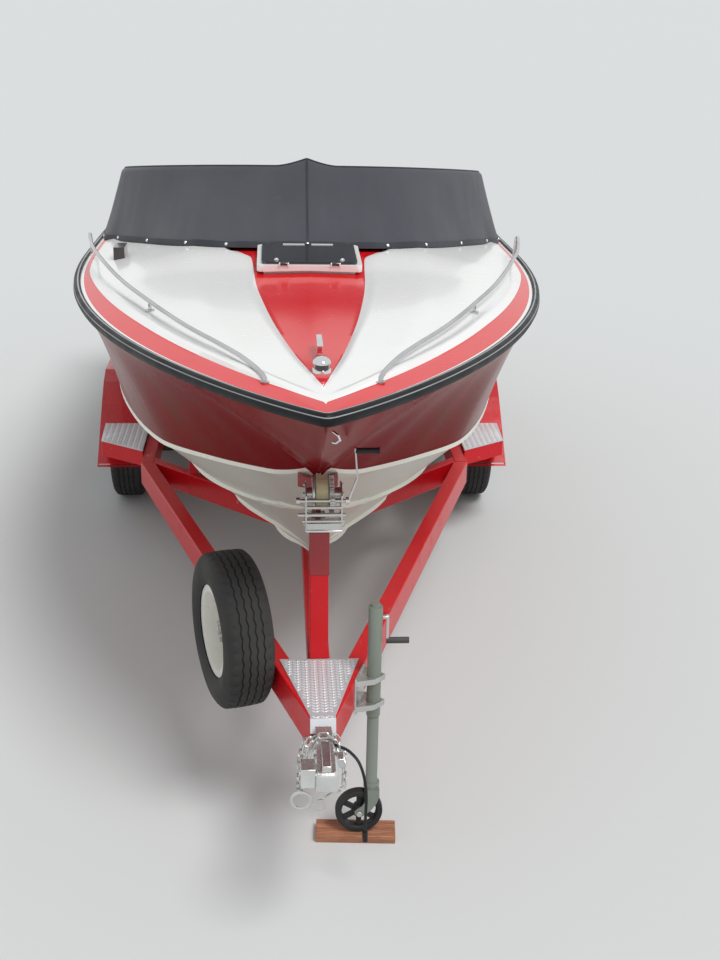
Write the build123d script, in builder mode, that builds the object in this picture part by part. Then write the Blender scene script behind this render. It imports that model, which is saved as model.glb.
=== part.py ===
from build123d import *
import os
from math import atan2, cos, degrees, hypot, radians, sin, tan

os.makedirs("parts", exist_ok=True)

# Trailer speedboat, 6.2 m, parked on its tandem trailer with the jack wound down.
# The rig is drawn level: bow towards -Y, port side +X, Z = 0 on top of the frame rails,
# Y = 0 at the rear edge of the tongue plate. It is then set nose-up as it parks.
NOSE_UP = 3.5
PIVOT_Y = 2435.0
PIVOT_Z = 620.0
MID_Y = 2663.6
SIDES = (("starboard", -1), ("port", 1))

stance = Location((0, PIVOT_Y - MID_Y, PIVOT_Z), (-NOSE_UP, 0, 0)) * Location((0, -PIVOT_Y, 0))


def floor_to_rig(y_floor, z_floor):
    """A place over the floor, read in the level rig's own Y and Z."""
    tilt = radians(NOSE_UP)
    dy, dz = y_floor - PIVOT_Y, z_floor - PIVOT_Z
    return PIVOT_Y + dy * cos(tilt) - dz * sin(tilt), dy * sin(tilt) + dz * cos(tilt)


def finish(piece, name, place=stance):
    """Names a finished piece, sets it in its parked place and writes it."""
    piece.part.label = name
    piece.part.move(place)
    export_step(piece.part, f"parts/{name}.step")


def bend_radii(points, largest=900.0):
    """The radius of each bend of a bent tube: as large as the runs beside it allow."""
    corners = [Vector(*p) for p in points]
    radii = []
    for a, b, c in zip(corners, corners[1:], corners[2:]):
        half_turn = radians((b - a).get_angle(c - b)) / 2
        radii.append(min(0.45 * min((b - a).length, (c - b).length) / tan(half_turn), largest))
    return radii


def station(y):
    """The upright plane across the rig at y; its own Y points up."""
    return Plane.XZ.offset(-y)


# Hull and deck lines. Columns: station y, half-breadth and height of the chine, height of
# the keel, then crown of the deck over the sheer, and share of the half-breadth and height
# over the sheer where the deck's outer band ends.
BOW_Y = -556.0
TRANSOM_Y = 5560.0
SHEER_MID = 1133.0
SHEER_SPRING = 76.0
SHEER_STERN = 1112.0
BEAM_Y = 2760.0
HALF_BEAM = 1240.0
KEEL_HALF = 2.0
DECK_LIP = 14.0
STATIONS = (
    (-552.0, 3.0, 1192.0, 1176.0, 14.0, 0.60, 13.0),
    (-420.0, 8.0, 1128.0, 1116.0, 22.0, 0.66, 18.0),
    (-220.0, 10.0, 1020.0, 1006.0, 31.0, 0.72, 22.0),
    (0.0, 14.0, 893.0, 876.0, 42.0, 0.77, 26.0),
    (260.0, 24.0, 736.0, 712.0, 54.0, 0.81, 29.0),
    (480.0, 190.0, 648.0, 480.0, 64.0, 0.83, 31.0),
    (720.0, 430.0, 618.0, 205.0, 76.0, 0.85, 33.0),
    (1080.0, 706.0, 584.0, 70.0, 94.0, 0.87, 36.0),
    (1760.0, 930.0, 546.0, 35.0, 122.0, 0.885, 40.0),
    (2260.0, 1030.0, 524.0, 31.0, 165.0, 0.89, 46.0),
    (BEAM_Y, 1090.0, 505.0, 30.0, 165.0, 0.89, 50.0),
    (4200.0, 1115.0, 490.0, 30.0, 120.0, 0.89, 50.0),
    (TRANSOM_Y, 1100.0, 484.0, 30.0, 70.0, 0.89, 50.0),
)


def sheer_z(y):
    """Height of the gunwale: a light spring up to the bow, nearly level aft."""
    if y >= BEAM_Y:
        return SHEER_MID + (SHEER_STERN - SHEER_MID) * (y - BEAM_Y) / (TRANSOM_Y - BEAM_Y)
    return SHEER_MID + SHEER_SPRING * ((BEAM_Y - y) / (BEAM_Y - BOW_Y)) ** 1.917


def sheer_half(y):
    """Half-breadth at the gunwale: full at the beam, eased in a little to the transom."""
    if y >= BEAM_Y:
        return HALF_BEAM - 60.0 * ((y - BEAM_Y) / (TRANSOM_Y - BEAM_Y)) ** 2
    ahead = (BEAM_Y - y) / (BEAM_Y - BOW_Y)
    return max(HALF_BEAM * (1 - ahead**2.159) ** 0.907, 8.0)


# Cabin under the foredeck hatch: front, back, half-width, floor. Engine block: front, back,
# half-width, bottom, top.
CABIN = (1180.0, 2330.0, 440.0, 550.0)
ENGINE = (4560.0, 5380.0, 330.0, 260.0, 900.0)
BAY_GAP = 12.0
ENGINE_FEET = 8.0

with BuildPart() as hull:
    for y, chine_half, chine_z, keel_z, crown, band, band_z in STATIONS:
        with BuildSketch(station(y)):
            with BuildLine():
                Polyline(
                    (-KEEL_HALF, keel_z), (KEEL_HALF, keel_z), (chine_half, chine_z),
                    (sheer_half(y), sheer_z(y)), (-sheer_half(y), sheer_z(y)),
                    (-chine_half, chine_z), close=True,
                )
            make_face()
    loft(ruled=True)
    cabin_front, cabin_back, cabin_half, cabin_floor = CABIN
    with BuildSketch(Plane.XY.offset(cabin_floor)):
        with Locations((0, (cabin_front + cabin_back) / 2)):
            Rectangle(2 * cabin_half, cabin_back - cabin_front)
    extrude(amount=1000, mode=Mode.SUBTRACT)
    engine_front, engine_back, engine_half, engine_low, engine_top = ENGINE
    with BuildSketch(Plane.XY.offset(engine_low)):
        with Locations((0, (engine_front + engine_back) / 2)):
            Rectangle(2 * (engine_half + BAY_GAP), engine_back - engine_front + 2 * BAY_GAP)
    extrude(amount=engine_top + BAY_GAP - engine_low, mode=Mode.SUBTRACT)

with BuildPart() as engine:
    with BuildSketch(Plane.XY.offset(engine_low)):
        with Locations((0, (engine_front + engine_back) / 2)):
            Rectangle(2 * engine_half, engine_back - engine_front)
    extrude(amount=engine_top - engine_low)

HATCH = (1782.0, 2155.0, 232.0)
hatch_front, hatch_back, hatch_half = HATCH
hatch_mid = (hatch_front + hatch_back) / 2

with BuildPart() as hatchway:
    with BuildSketch(Plane.XY.offset(1000)):
        with Locations((0, hatch_mid)):
            Rectangle(2 * hatch_half, hatch_back - hatch_front)
    extrude(amount=500)

with BuildPart() as deck:
    for y, chine_half, chine_z, keel_z, crown, band, band_z in STATIONS:
        half, low = sheer_half(y), sheer_z(y)
        with BuildSketch(station(y)):
            with BuildLine():
                Polyline(
                    (-half, low + DECK_LIP), (-half, low), (half, low), (half, low + DECK_LIP),
                    (band * half, low + band_z), (0.5 * half, low + 0.8 * crown + 0.2 * band_z),
                    (0, low + crown), (-0.5 * half, low + 0.8 * crown + 0.2 * band_z),
                    (-band * half, low + band_z), close=True,
                )
            make_face()
    loft(ruled=True)
    add(hatchway.part, mode=Mode.SUBTRACT)

# Rub rail: a band round the sheer, cut back to fit the hull and deck.
RUB_OUT = 26.0
RUB_HALF_HEIGHT = 26.0
RUB_NOSE = 24.0
CUT_BACK = 60.0
with BuildPart() as rub_rail:
    for y, *_ in STATIONS:
        nose = y < BOW_Y + 50
        with BuildSketch(station(y - RUB_NOSE if nose else y)):
            with Locations((0, sheer_z(y))):
                Rectangle(2 * sheer_half(y) + (3.6 if nose else 2) * RUB_OUT, 2 * RUB_HALF_HEIGHT)
    loft(ruled=True)
    add(hull.part, mode=Mode.SUBTRACT)
    add(deck.part, mode=Mode.SUBTRACT)
    inner = [(sheer_half(row[0]) - CUT_BACK, row[0]) for row in STATIONS[2:]]
    with BuildSketch(Plane.XY.offset(SHEER_STERN - 300)):
        with BuildLine():
            Polyline(*inner, *[(-x, y) for x, y in reversed(inner)], close=True)
        make_face()
    extrude(amount=600, mode=Mode.SUBTRACT)

# Foredeck hatch: frame on the deck, smoked lid hinged on its forward edge.
FRAME_WIDE = 34.0
FRAME_TOP = 1302.0
LID_GAP = 6.0
LID_THICK = 12.0
HATCH_TILT = 3.6
HINGE_X = 130.0
BARREL = (17.0, 8.0)
HINGE_PIN = 3.0
hatch_slope = radians(HATCH_TILT)
hatch_plane = Plane((0, hatch_mid, FRAME_TOP), x_dir=(1, 0, 0), z_dir=(0, -sin(hatch_slope), cos(hatch_slope)))
hatch_long = hatch_back - hatch_front
barrel_half, barrel_radius = BARREL
hinge_at = (-hatch_long / 2 - FRAME_WIDE, barrel_radius + 0.5)


def hinge_plane(x):
    """The plane square to the hatch's hinge at x; its own axes run aft and up along the frame."""
    return Plane(hatch_plane.location * Location((x, 0, 0)) * Location(Plane.YZ))


with BuildPart() as hatch_frame:
    with BuildSketch(hatch_plane):
        RectangleRounded(2 * hatch_half + 2 * FRAME_WIDE, hatch_long + 2 * FRAME_WIDE, 30)
        RectangleRounded(2 * hatch_half, hatch_long, 14, mode=Mode.SUBTRACT)
    extrude(amount=-60)
    for x in (-HINGE_X, HINGE_X):
        for cheek in (x - barrel_half - 8, x + barrel_half + 2):
            with BuildSketch(hinge_plane(cheek)):
                with Locations(hinge_at):
                    Circle(7)
                with Locations((hinge_at[0] + 2, hinge_at[1] / 2 - 2)):
                    Rectangle(18, hinge_at[1] + 4)
            extrude(amount=6)
        with BuildSketch(hinge_plane(x - barrel_half - 6)):
            with Locations(hinge_at):
                Circle(HINGE_PIN)
        extrude(amount=2 * barrel_half + 12)
    add(deck.part, mode=Mode.SUBTRACT)

with BuildPart() as hatch_lid:
    with BuildSketch(hatch_plane.offset(0.5)):
        RectangleRounded(2 * hatch_half + 20, hatch_long + 20, 22)
    extrude(amount=LID_THICK)
    for x in (-HINGE_X, HINGE_X):
        with BuildSketch(hinge_plane(x - barrel_half)):
            with Locations(hinge_at):
                Circle(barrel_radius)
            with Locations((hinge_at[0] + 16, hinge_at[1])):
                Rectangle(32, 8)
        extrude(amount=2 * barrel_half)
        with BuildSketch(hinge_plane(x - barrel_half)):
            with Locations(hinge_at):
                Circle(HINGE_PIN + 0.05)
        extrude(amount=2 * barrel_half, mode=Mode.SUBTRACT)

# Canvas over the windscreen and cockpit: hem outline on the deck, ridge outline above.
COVER_LOW = 1140.0
COVER_TOP = 1700.0
COVER_HEM = (
    (0, 2107), (455, 2194), (679, 2358), (914, 2739), (1131, 3114), (1176, 3400), (1130, 5180),
    (1040, 5330), (0, 5350),
)
COVER_RIDGE = (
    (0, 2500), (400, 2570), (600, 2700), (830, 2930), (1000, 3190), (1065, 3370), (1010, 5080),
    (930, 5180), (0, 5200),
)
COVER_FALL = ((2400.0, 1707.0), (5600.0, 1240.0))


def half_outline(points):
    return [*points, *[(-x, y) for x, y in reversed(points[1:-1])]]


with BuildPart() as cover:
    for height, points in ((COVER_LOW, COVER_HEM), (COVER_TOP, COVER_RIDGE)):
        with BuildSketch(Plane.XY.offset(height)):
            with BuildLine():
                Polyline(*half_outline(points), close=True)
            make_face()
    loft(ruled=True)
    with BuildSketch(Plane.YZ):
        with BuildLine():
            Polyline(*COVER_FALL, (COVER_FALL[1][0], 1800), (COVER_FALL[0][0], 1800), close=True)
        make_face()
    extrude(amount=1400, both=True, mode=Mode.SUBTRACT)
    add(deck.part, mode=Mode.SUBTRACT)
    add(hull.part, mode=Mode.SUBTRACT)
    add(hatchway.part, mode=Mode.SUBTRACT)

# Low stainless rails along the foredeck, each on a foot, a post and a heel.
BOW_RAIL = (
    (205, -150, 1195), (228, -50, 1243), (400, 330, 1248), (562, 650, 1250), (742, 1070, 1254),
    (930, 1550, 1262), (1110, 2110, 1285), (1188, 2480, 1296), (1206, 2640, 1290), (1206, 2690, 1160),
)
BOW_RAIL_POST = (741, 1092, 1255)
BOW_TUBE = 11.0

with BuildPart() as bow_rails:
    for name, side in SIDES:
        with BuildLine() as run:
            points = [(side * x, y, z) for x, y, z in BOW_RAIL]
            FilletPolyline(*points, radius=bend_radii(points))
        with BuildSketch(Plane(run.line @ 0, z_dir=run.line % 0)):
            Circle(BOW_TUBE)
        sweep(path=run.line)
        x, y, z = BOW_RAIL_POST
        with BuildSketch(Plane.XY.offset(z - 130)):
            with Locations((side * x, y)):
                Circle(BOW_TUBE - 2)
        extrude(amount=130)
    for under in (deck, hull, rub_rail):
        add(under.part, mode=Mode.SUBTRACT)
print("bow rails", len(bow_rails.part.solids()), [round(s.volume) for s in bow_rails.part.solids()])

# Engine's stern drive: housing bolted to the transom, a steering yoke, a tilting leg and
# the propeller.
PIN_Y = TRANSOM_Y + 120.0
PIN_RADIUS = 14.0
LUG_RADIUS = 35.0
LUGS = ((265.0, 325.0), (525.0, 585.0))
YOKE_LOW, YOKE_TOP = 331.0, 519.0
CHEEK_IN, CHEEK_OUT = 96.0, 114.0
TILT_Y = PIN_Y + 95.0
TILT_Z = 440.0
TILT_PIN = 15.0
FIT = 0.05
PROP_Z = -40.0
PROP_Y = TRANSOM_Y + 560.0
PROP_RADIUS = 185.0
SHAFT = 15.0

with BuildPart() as drive_mount:
    with BuildSketch(station(TRANSOM_Y)):
        with BuildLine():
            Polyline((-150, 230), (150, 230), (190, 560), (90, 640), (-90, 640), (-190, 560), close=True)
        make_face()
    extrude(amount=-46)
    for low, top in LUGS:
        with BuildSketch(Plane.XY.offset(low)):
            with Locations((0, (TRANSOM_Y + 40 + PIN_Y) / 2)):
                Rectangle(2 * LUG_RADIUS, PIN_Y - TRANSOM_Y - 40)
            with Locations((0, PIN_Y)):
                Circle(LUG_RADIUS)
                Circle(PIN_RADIUS + FIT, mode=Mode.SUBTRACT)
        extrude(amount=top - low)

with BuildPart() as drive_yoke:
    with BuildSketch(Plane.XY.offset(YOKE_LOW)):
        with Locations((0, PIN_Y)):
            Circle(30)
        with Locations((0, PIN_Y + 25)):
            Rectangle(60, 50)
        with Locations((0, PIN_Y + 35)):
            Rectangle(2 * CHEEK_OUT, 30)
    extrude(amount=YOKE_TOP - YOKE_LOW)
    with BuildSketch(Plane.XY.offset(LUGS[0][0] + 4)):
        with Locations((0, PIN_Y)):
            Circle(PIN_RADIUS)
    extrude(amount=LUGS[1][1] - LUGS[0][0] - 8)
    for name, side in SIDES:
        with BuildSketch(Plane.YZ.offset(side * CHEEK_IN)):
            with BuildLine():
                Polyline(
                    (PIN_Y + 20, YOKE_LOW), (PIN_Y + 50, YOKE_LOW), (TILT_Y + 35, TILT_Z - 35),
                    (TILT_Y + 35, TILT_Z + 35), (PIN_Y + 50, YOKE_TOP), (PIN_Y + 20, YOKE_TOP), close=True,
                )
            make_face()
            with Locations((TILT_Y, TILT_Z)):
                Circle(TILT_PIN + FIT, mode=Mode.SUBTRACT)
        extrude(amount=side * (CHEEK_OUT - CHEEK_IN))

with BuildPart() as drive_leg:
    with BuildSketch(Plane.YZ):
        with BuildLine():
            Polyline(
                (TILT_Y - 27, 413), (TILT_Y - 27, 467), (TILT_Y + 110, 600), (TILT_Y + 200, 590),
                (TILT_Y + 245, 500), (TILT_Y + 215, 180), (TILT_Y + 20, 180), (TILT_Y + 5, 300), close=True,
            )
        make_face()
    extrude(amount=88, both=True)
    with BuildSketch(Plane.YZ):
        with Locations((TILT_Y, TILT_Z)):
            Circle(TILT_PIN)
    extrude(amount=CHEEK_OUT + 4, both=True)
    with BuildSketch(Plane.XY.offset(180)):
        with Locations((0, TILT_Y + 110)):
            Rectangle(190, 400)
    extrude(amount=-14)
    with BuildSketch(Plane.XY.offset(166)):
        with Locations((0, TILT_Y + 100)):
            SlotOverall(230, 66, rotation=90)
    extrude(amount=-(166 - PROP_Z))
    with BuildSketch(station(TILT_Y - 55)):
        with Locations((0, PROP_Z)):
            Circle(20)
    with BuildSketch(station(TILT_Y + 55)):
        with Locations((0, PROP_Z)):
            Circle(58)
    loft()
    with BuildSketch(station(TILT_Y + 55)):
        with Locations((0, PROP_Z)):
            Circle(58)
    extrude(amount=-(PROP_Y - 90 - TILT_Y - 55))
    with BuildSketch(station(PROP_Y - 92)):
        with Locations((0, PROP_Z)):
            Circle(SHAFT)
    extrude(amount=-140)
    with BuildSketch(Plane.YZ):
        with BuildLine():
            Polyline(
                (TILT_Y + 25, PROP_Z), (TILT_Y + 215, PROP_Z), (TILT_Y + 235, PROP_Z - 205),
                (TILT_Y + 170, PROP_Z - 205), close=True,
            )
        make_face()
    extrude(amount=6, both=True)

BLADES = 3
with BuildPart() as propeller:
    with BuildSketch(Plane.XZ.offset(-(PROP_Y - 84))):
        with Locations((0, PROP_Z)):
            Circle(54)
    extrude(amount=-168)
    for turn in range(BLADES):
        blade_plane = Plane((0, PROP_Y, PROP_Z), x_dir=(0, 1, 0), z_dir=(cos(radians(turn * 120)), 0, sin(radians(turn * 120))))
        with BuildSketch(blade_plane.offset(40)):
            Rectangle(96, 12, rotation=58)
        with BuildSketch(blade_plane.offset(120)):
            Rectangle(124, 8, rotation=40)
        with BuildSketch(blade_plane.offset(PROP_RADIUS)):
            Rectangle(70, 3, rotation=28)
        loft(ruled=True)
    with BuildSketch(station(PROP_Y - 85)):
        with Locations((0, PROP_Z)):
            Circle(SHAFT + FIT)
    extrude(amount=-138, mode=Mode.SUBTRACT)

# Trailer frame: two drawbar rails run in to the tongue, two straight rails carry the bunks.
RAIL_WIDE = 76.0
RAIL_HIGH = 133.0
FRAME_HALF = 957.0
BEND_Y = 2435.0
REAR_Y = 5500.0
TONGUE_Y = -470.0
TONGUE_HALF = 48.0
DRAW_SLOPE = (FRAME_HALF - TONGUE_HALF) / (BEND_Y - TONGUE_Y)
DRAW_WIDE = RAIL_WIDE * hypot(1, DRAW_SLOPE)


def draw_outer(y):
    """Outer edge of a drawbar rail at y."""
    return FRAME_HALF - (BEND_Y - y) * DRAW_SLOPE


rails = {}
for name, side in SIDES:
    with BuildPart() as drawbar:
        meet_y = TONGUE_Y + (DRAW_WIDE - TONGUE_HALF) / DRAW_SLOPE
        with BuildSketch():
            with BuildLine():
                Polyline(
                    (side * draw_outer(BEND_Y), BEND_Y), (side * (draw_outer(BEND_Y) - DRAW_WIDE), BEND_Y),
                    (0, meet_y), (0, TONGUE_Y), (side * TONGUE_HALF, TONGUE_Y), close=True,
                )
            make_face()
        extrude(amount=-RAIL_HIGH)
    with BuildPart() as rail:
        with BuildSketch():
            with Locations((side * (FRAME_HALF - RAIL_WIDE / 2), (BEND_Y + REAR_Y) / 2)):
                Rectangle(RAIL_WIDE, REAR_Y - BEND_Y)
        extrude(amount=-RAIL_HIGH)
    rails[f"drawbar_{name}"] = drawbar
    rails[f"rail_{name}"] = rail

# Cross members: two diagonals from the bends to the centre tube, and straight ones aft.
CENTRE_HALF = 38.0
CENTRE_BACK = 1300.0
DIAGONAL_SLOPE = 0.65
DIAGONAL_HIGH = 96.0
CROSS_Y = (3660.0, 4560.0, 5440.0)
CROSS_TOP = -20.0
CROSS_HIGH = 90.0
BUNK_X = 640.0

with BuildPart() as cross_members:
    with BuildSketch(Plane.XY.offset(-RAIL_HIGH / 2)):
        with Locations((0, (meet_y + 60 + CENTRE_BACK) / 2)):
            Rectangle(2 * CENTRE_HALF, CENTRE_BACK - meet_y - 60)
    extrude(amount=RAIL_HIGH / 2, both=True)
    for name, side in SIDES:
        reach = (FRAME_HALF - RAIL_WIDE - CENTRE_HALF) / DIAGONAL_SLOPE
        with BuildSketch(Plane.XY.offset(-4)):
            with BuildLine():
                Polyline(
                    (side * (CENTRE_HALF - 2), BEND_Y - 40 - reach), (side * (FRAME_HALF - RAIL_WIDE + 30), BEND_Y + 6),
                    (side * (FRAME_HALF - RAIL_WIDE + 30), BEND_Y + 90), (side * (CENTRE_HALF - 2), BEND_Y + 44 - reach),
                    close=True,
                )
            make_face()
        extrude(amount=-DIAGONAL_HIGH)
    for y in CROSS_Y:
        with BuildSketch(Plane.XY.offset(CROSS_TOP)):
            with Locations((0, y)):
                Rectangle(2 * (FRAME_HALF - RAIL_WIDE), 50)
        extrude(amount=-CROSS_HIGH)
    for part in rails.values():
        add(part.part, mode=Mode.SUBTRACT)
print("cross members", len(cross_members.part.solids()))

# Bunks: long carpeted boards under the bottom, on posts up from the cross members.
BUNK_WIDE = 140.0
BUNK_THICK = 44.0
BUNK_FRONT = 1990.0
BUNK_BACK = 5470.0
DEADRISE = degrees(atan2(492.0, 1087.0))
with BuildPart() as bunks:
    for name, side in SIDES:
        middle = Plane(
            (side * BUNK_X, BUNK_FRONT, 30 + BUNK_X * tan(radians(DEADRISE)) - BUNK_THICK / 2 + 12),
            x_dir=(cos(radians(DEADRISE)), 0, side * sin(radians(DEADRISE))), z_dir=(0, 1, 0),
        )
        with BuildSketch(middle):
            RectangleRounded(BUNK_WIDE, BUNK_THICK, 8)
        extrude(amount=BUNK_BACK - BUNK_FRONT)
    add(hull.part, mode=Mode.SUBTRACT)
POST_Y = (2040.0, *CROSS_Y)
with BuildPart() as bunk_posts:
    for name, side in SIDES:
        for y in POST_Y:
            with BuildSketch(Plane.XY.offset(CROSS_TOP - 30)):
                with Locations((side * BUNK_X, y)):
                    Rectangle(46, 46)
            extrude(amount=360)
            with BuildSketch(Plane.XY.offset(200)):
                with Locations((side * BUNK_X, y)):
                    Rectangle(110, 46)
            extrude(amount=130)
    for side in (-1, 1):
        slope = tan(radians(DEADRISE))
        level = 30 + BUNK_X * slope + 12
        with BuildSketch(station(BUNK_FRONT - 20)):
            with BuildLine():
                Polyline(
                    (side * (BUNK_X - 80), level - 80 * slope - BUNK_THICK * 1.09), (side * (BUNK_X + 80), level + 80 * slope - BUNK_THICK * 1.09),
                    (side * (BUNK_X + 80), 800), (side * (BUNK_X - 80), 800), close=True,
                )
            make_face()
        extrude(amount=-(BUNK_BACK - BUNK_FRONT + 60), mode=Mode.SUBTRACT)
    add(cross_members.part, mode=Mode.SUBTRACT)
    add(bunks.part, mode=Mode.SUBTRACT)
print("bunk posts", len(bunk_posts.part.solids()))
print("bunks", len(bunks.part.solids()), [round(s.volume / 1e6) for s in bunks.part.solids()])

# Axles: rubber torsion beams under the rails, their arms swung to keep both pairs of
# wheels on the floor while the frame stands nose-up.
TYRE_RADIUS = 331.5
TYRE_HALF = 102.5
WHEEL_X = 1126.0
WHEEL_FLOOR_Y = (("front", 3400.0), ("rear", 4240.0))
BEAM = 64.0
BEAM_Z = -RAIL_HIGH - BEAM / 2 - 12.0
ARM_LONG = 150.0
SPINDLE = 20.0
HUB_BACK = 52.0
wheels = [(name, *floor_to_rig(y, TYRE_RADIUS)) for name, y in WHEEL_FLOOR_Y]

with BuildPart() as axles:
    for name, y, z in wheels:
        beam_y = y - (ARM_LONG**2 - (z - BEAM_Z) ** 2) ** 0.5
        with BuildSketch(Plane.YZ):
            with Locations((beam_y, BEAM_Z)):
                RectangleRounded(BEAM, BEAM, 8)
        extrude(amount=FRAME_HALF - 10, both=True)
        for _, side in SIDES:
            with BuildSketch(Plane.YZ.offset(side * (FRAME_HALF - 12))):
                with Locations((beam_y, BEAM_Z)):
                    Circle(40)
                with Locations((y, z)):
                    Circle(34)
                make_hull()
            extrude(amount=side * 26)
            with BuildSketch(Plane.YZ.offset(side * (FRAME_HALF + 14))):
                with Locations((y, z)):
                    Circle(SPINDLE)
            extrude(amount=side * (WHEEL_X - FRAME_HALF - 14 + 10))
            with BuildSketch(Plane.XY.offset(-RAIL_HIGH)):
                with Locations((side * (FRAME_HALF - RAIL_WIDE / 2), beam_y)):
                    Rectangle(RAIL_WIDE, 150)
            extrude(amount=-12)

RIM_RADIUS = 178.0
FLANGE_RADIUS = 195.0
RIM_HALF = 82.0
HUB_BORE = 20.05
BEAD = FLANGE_RADIUS + 0.5
tyre_profile = (
    (-86, BEAD), (-TYRE_HALF, 252), (-84, 318), (-50, TYRE_RADIUS), (50, TYRE_RADIUS), (84, 318),
    (TYRE_HALF, 252), (86, BEAD),
)
rim_profile = (
    (-RIM_HALF, FLANGE_RADIUS), (-RIM_HALF + 6, FLANGE_RADIUS), (-RIM_HALF + 6, RIM_RADIUS - 4), (-40, 168),
    (20, 160), (40, 168), (RIM_HALF - 6, RIM_RADIUS - 4), (RIM_HALF - 6, FLANGE_RADIUS), (RIM_HALF, FLANGE_RADIUS),
    (RIM_HALF, RIM_RADIUS - 12), (46, 158), (24, 150), (24, 96), (34, 60), (34, 0), (26, 0), (26, 56),
    (16, 96), (16, 150), (-40, 158), (-RIM_HALF, RIM_RADIUS - 12),
)
HAND_HOLES = 8


def make_tyre(x, y, z):
    with BuildPart() as tyre:
        with BuildSketch(Plane((x, y, z), x_dir=(0, 0, 1), z_dir=(0, 1, 0))):
            with BuildLine():
                Polyline(*[(r, along) for along, r in tyre_profile], close=True)
            make_face()
        revolve(axis=Axis((x, y, z), (1, 0, 0)))
    return tyre


def make_rim(x, y, z, side):
    with BuildPart() as rim:
        with BuildSketch(Plane((x, y, z), x_dir=(0, 0, 1), z_dir=(0, 1, 0))):
            with BuildLine():
                Polyline(*[(r, -side * along) for along, r in rim_profile], close=True)
            make_face()
        revolve(axis=Axis((x, y, z), (1, 0, 0)))
        with BuildSketch(Plane.YZ.offset(x)):
            with Locations((y, z)):
                with PolarLocations(123, HAND_HOLES):
                    SlotOverall(44, 26, rotation=90)
        extrude(amount=40, both=True, mode=Mode.SUBTRACT)
        with BuildSketch(Plane.YZ.offset(x - side * HUB_BACK)):
            with Locations((y, z)):
                Circle(40)
        extrude(amount=side * (HUB_BACK + 27))
        with BuildSketch(Plane.YZ.offset(x - side * (HUB_BACK + 1))):
            with Locations((y, z)):
                Circle(HUB_BORE)
        extrude(amount=side * (HUB_BACK + 17), mode=Mode.SUBTRACT)
    return rim


wheel_parts = {}
for end, y, z in wheels:
    for name, side in SIDES:
        wheel_parts[f"tyre_{end}_{name}"] = make_tyre(side * WHEEL_X, y, z)
        wheel_parts[f"rim_{end}_{name}"] = make_rim(side * WHEEL_X, y, z, side)
print("wheels", wheels, [round(p.part.volume / 1e6, 2) for p in wheel_parts.values()])

# Fenders: one pressed shell over each pair of wheels, with a skirt each side.
FENDER_IN = 996.0
FENDER_OUT = 1270.0
SHEET = 4.0
FENDER_TOP = 272.0
FENDER_BACK = wheels[1][1] + TYRE_RADIUS + 190.0
FENDER_LINE = (
    (2868.0, -185.0), (3110.0, 30.0), (3250.0, 150.0), (3350.0, 222.0), (3470.0, FENDER_TOP),
    (FENDER_BACK - 560, FENDER_TOP), (FENDER_BACK - 420, 222.0), (FENDER_BACK - 300, 120.0), (FENDER_BACK, -185.0),
)
SKIRT_OUT_LOW = -20.0
fender_parts = {}
for name, side in SIDES:
    with BuildPart() as fender:
        with BuildSketch(Plane.YZ.offset(side * FENDER_IN)):
            with BuildLine():
                Polyline(*FENDER_LINE, close=True)
            make_face()
        extrude(amount=side * (FENDER_OUT - FENDER_IN))
        with BuildSketch(Plane.YZ.offset(side * (FENDER_IN + SHEET))) as space:
            with BuildLine():
                Polyline(*FENDER_LINE, close=True)
            make_face()
            offset(amount=-SHEET, kind=Kind.INTERSECTION)
            with Locations(((FENDER_LINE[0][0] + FENDER_BACK) / 2, -185)):
                Rectangle(FENDER_BACK - FENDER_LINE[0][0] - 24, 30)
        extrude(amount=side * (FENDER_OUT - FENDER_IN - 2 * SHEET), mode=Mode.SUBTRACT)
        with BuildSketch(Plane.YZ.offset(side * (FENDER_OUT - 10))):
            for end, y, z in wheels:
                with Locations((y, z)):
                    Circle(TYRE_RADIUS + 22)
            with Locations(((wheels[0][1] + wheels[1][1]) / 2, -150)):
                Rectangle(560, 160)
        extrude(amount=side * 20, mode=Mode.SUBTRACT)
        with BuildSketch(Plane.YZ.offset(side * (FENDER_IN - 4))):
            with Locations(((FENDER_LINE[0][0] + FENDER_BACK) / 2, -200)):
                Rectangle(FENDER_BACK - FENDER_LINE[0][0] - 460, 300)
        extrude(amount=side * 12, mode=Mode.SUBTRACT)
    fender_parts[f"fender_{name}"] = fender
    print("fender", len(fender.part.solids()), round(fender.part.volume / 1e6, 1))

# Step beams out to the fenders with the fender brackets aft, and the tread plates on them.
STEP_TOP = 20.0
STEP_HIGH = 92.0
STEP_EDGE = ((FRAME_HALF, 2568.0), (1222.0, 2756.0))
PLATE_THICK = 5.0
PLATE_BACK = 3098.0
BRACKETS = (3180.0, 3835.0, 4520.0)
with BuildPart() as step_beams:
    (in_x, in_y), (out_x, out_y) = STEP_EDGE
    for name, side in SIDES:
        with BuildSketch(Plane.XY.offset(STEP_TOP - STEP_HIGH)):
            with BuildLine():
                Polyline(
                    (side * in_x, in_y), (side * out_x, out_y), (side * out_x, out_y + 60),
                    (side * in_x, in_y + 60), close=True,
                )
            make_face()
            with Locations((side * (out_x - 25), out_y + 60 + 65)):
                Rectangle(50, 150)
        extrude(amount=STEP_HIGH)
        for y in BRACKETS:
            with BuildSketch(Plane.XY.offset(-60)):
                with Locations((side * (FRAME_HALF + FENDER_IN) / 2, y)):
                    Rectangle(FENDER_IN - FRAME_HALF, 60)
            extrude(amount=50)
    for fender in fender_parts.values():
        add(fender.part, mode=Mode.SUBTRACT)
print("step beams", len(step_beams.part.solids()), [round(v.volume) for v in step_beams.part.solids()])

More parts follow.
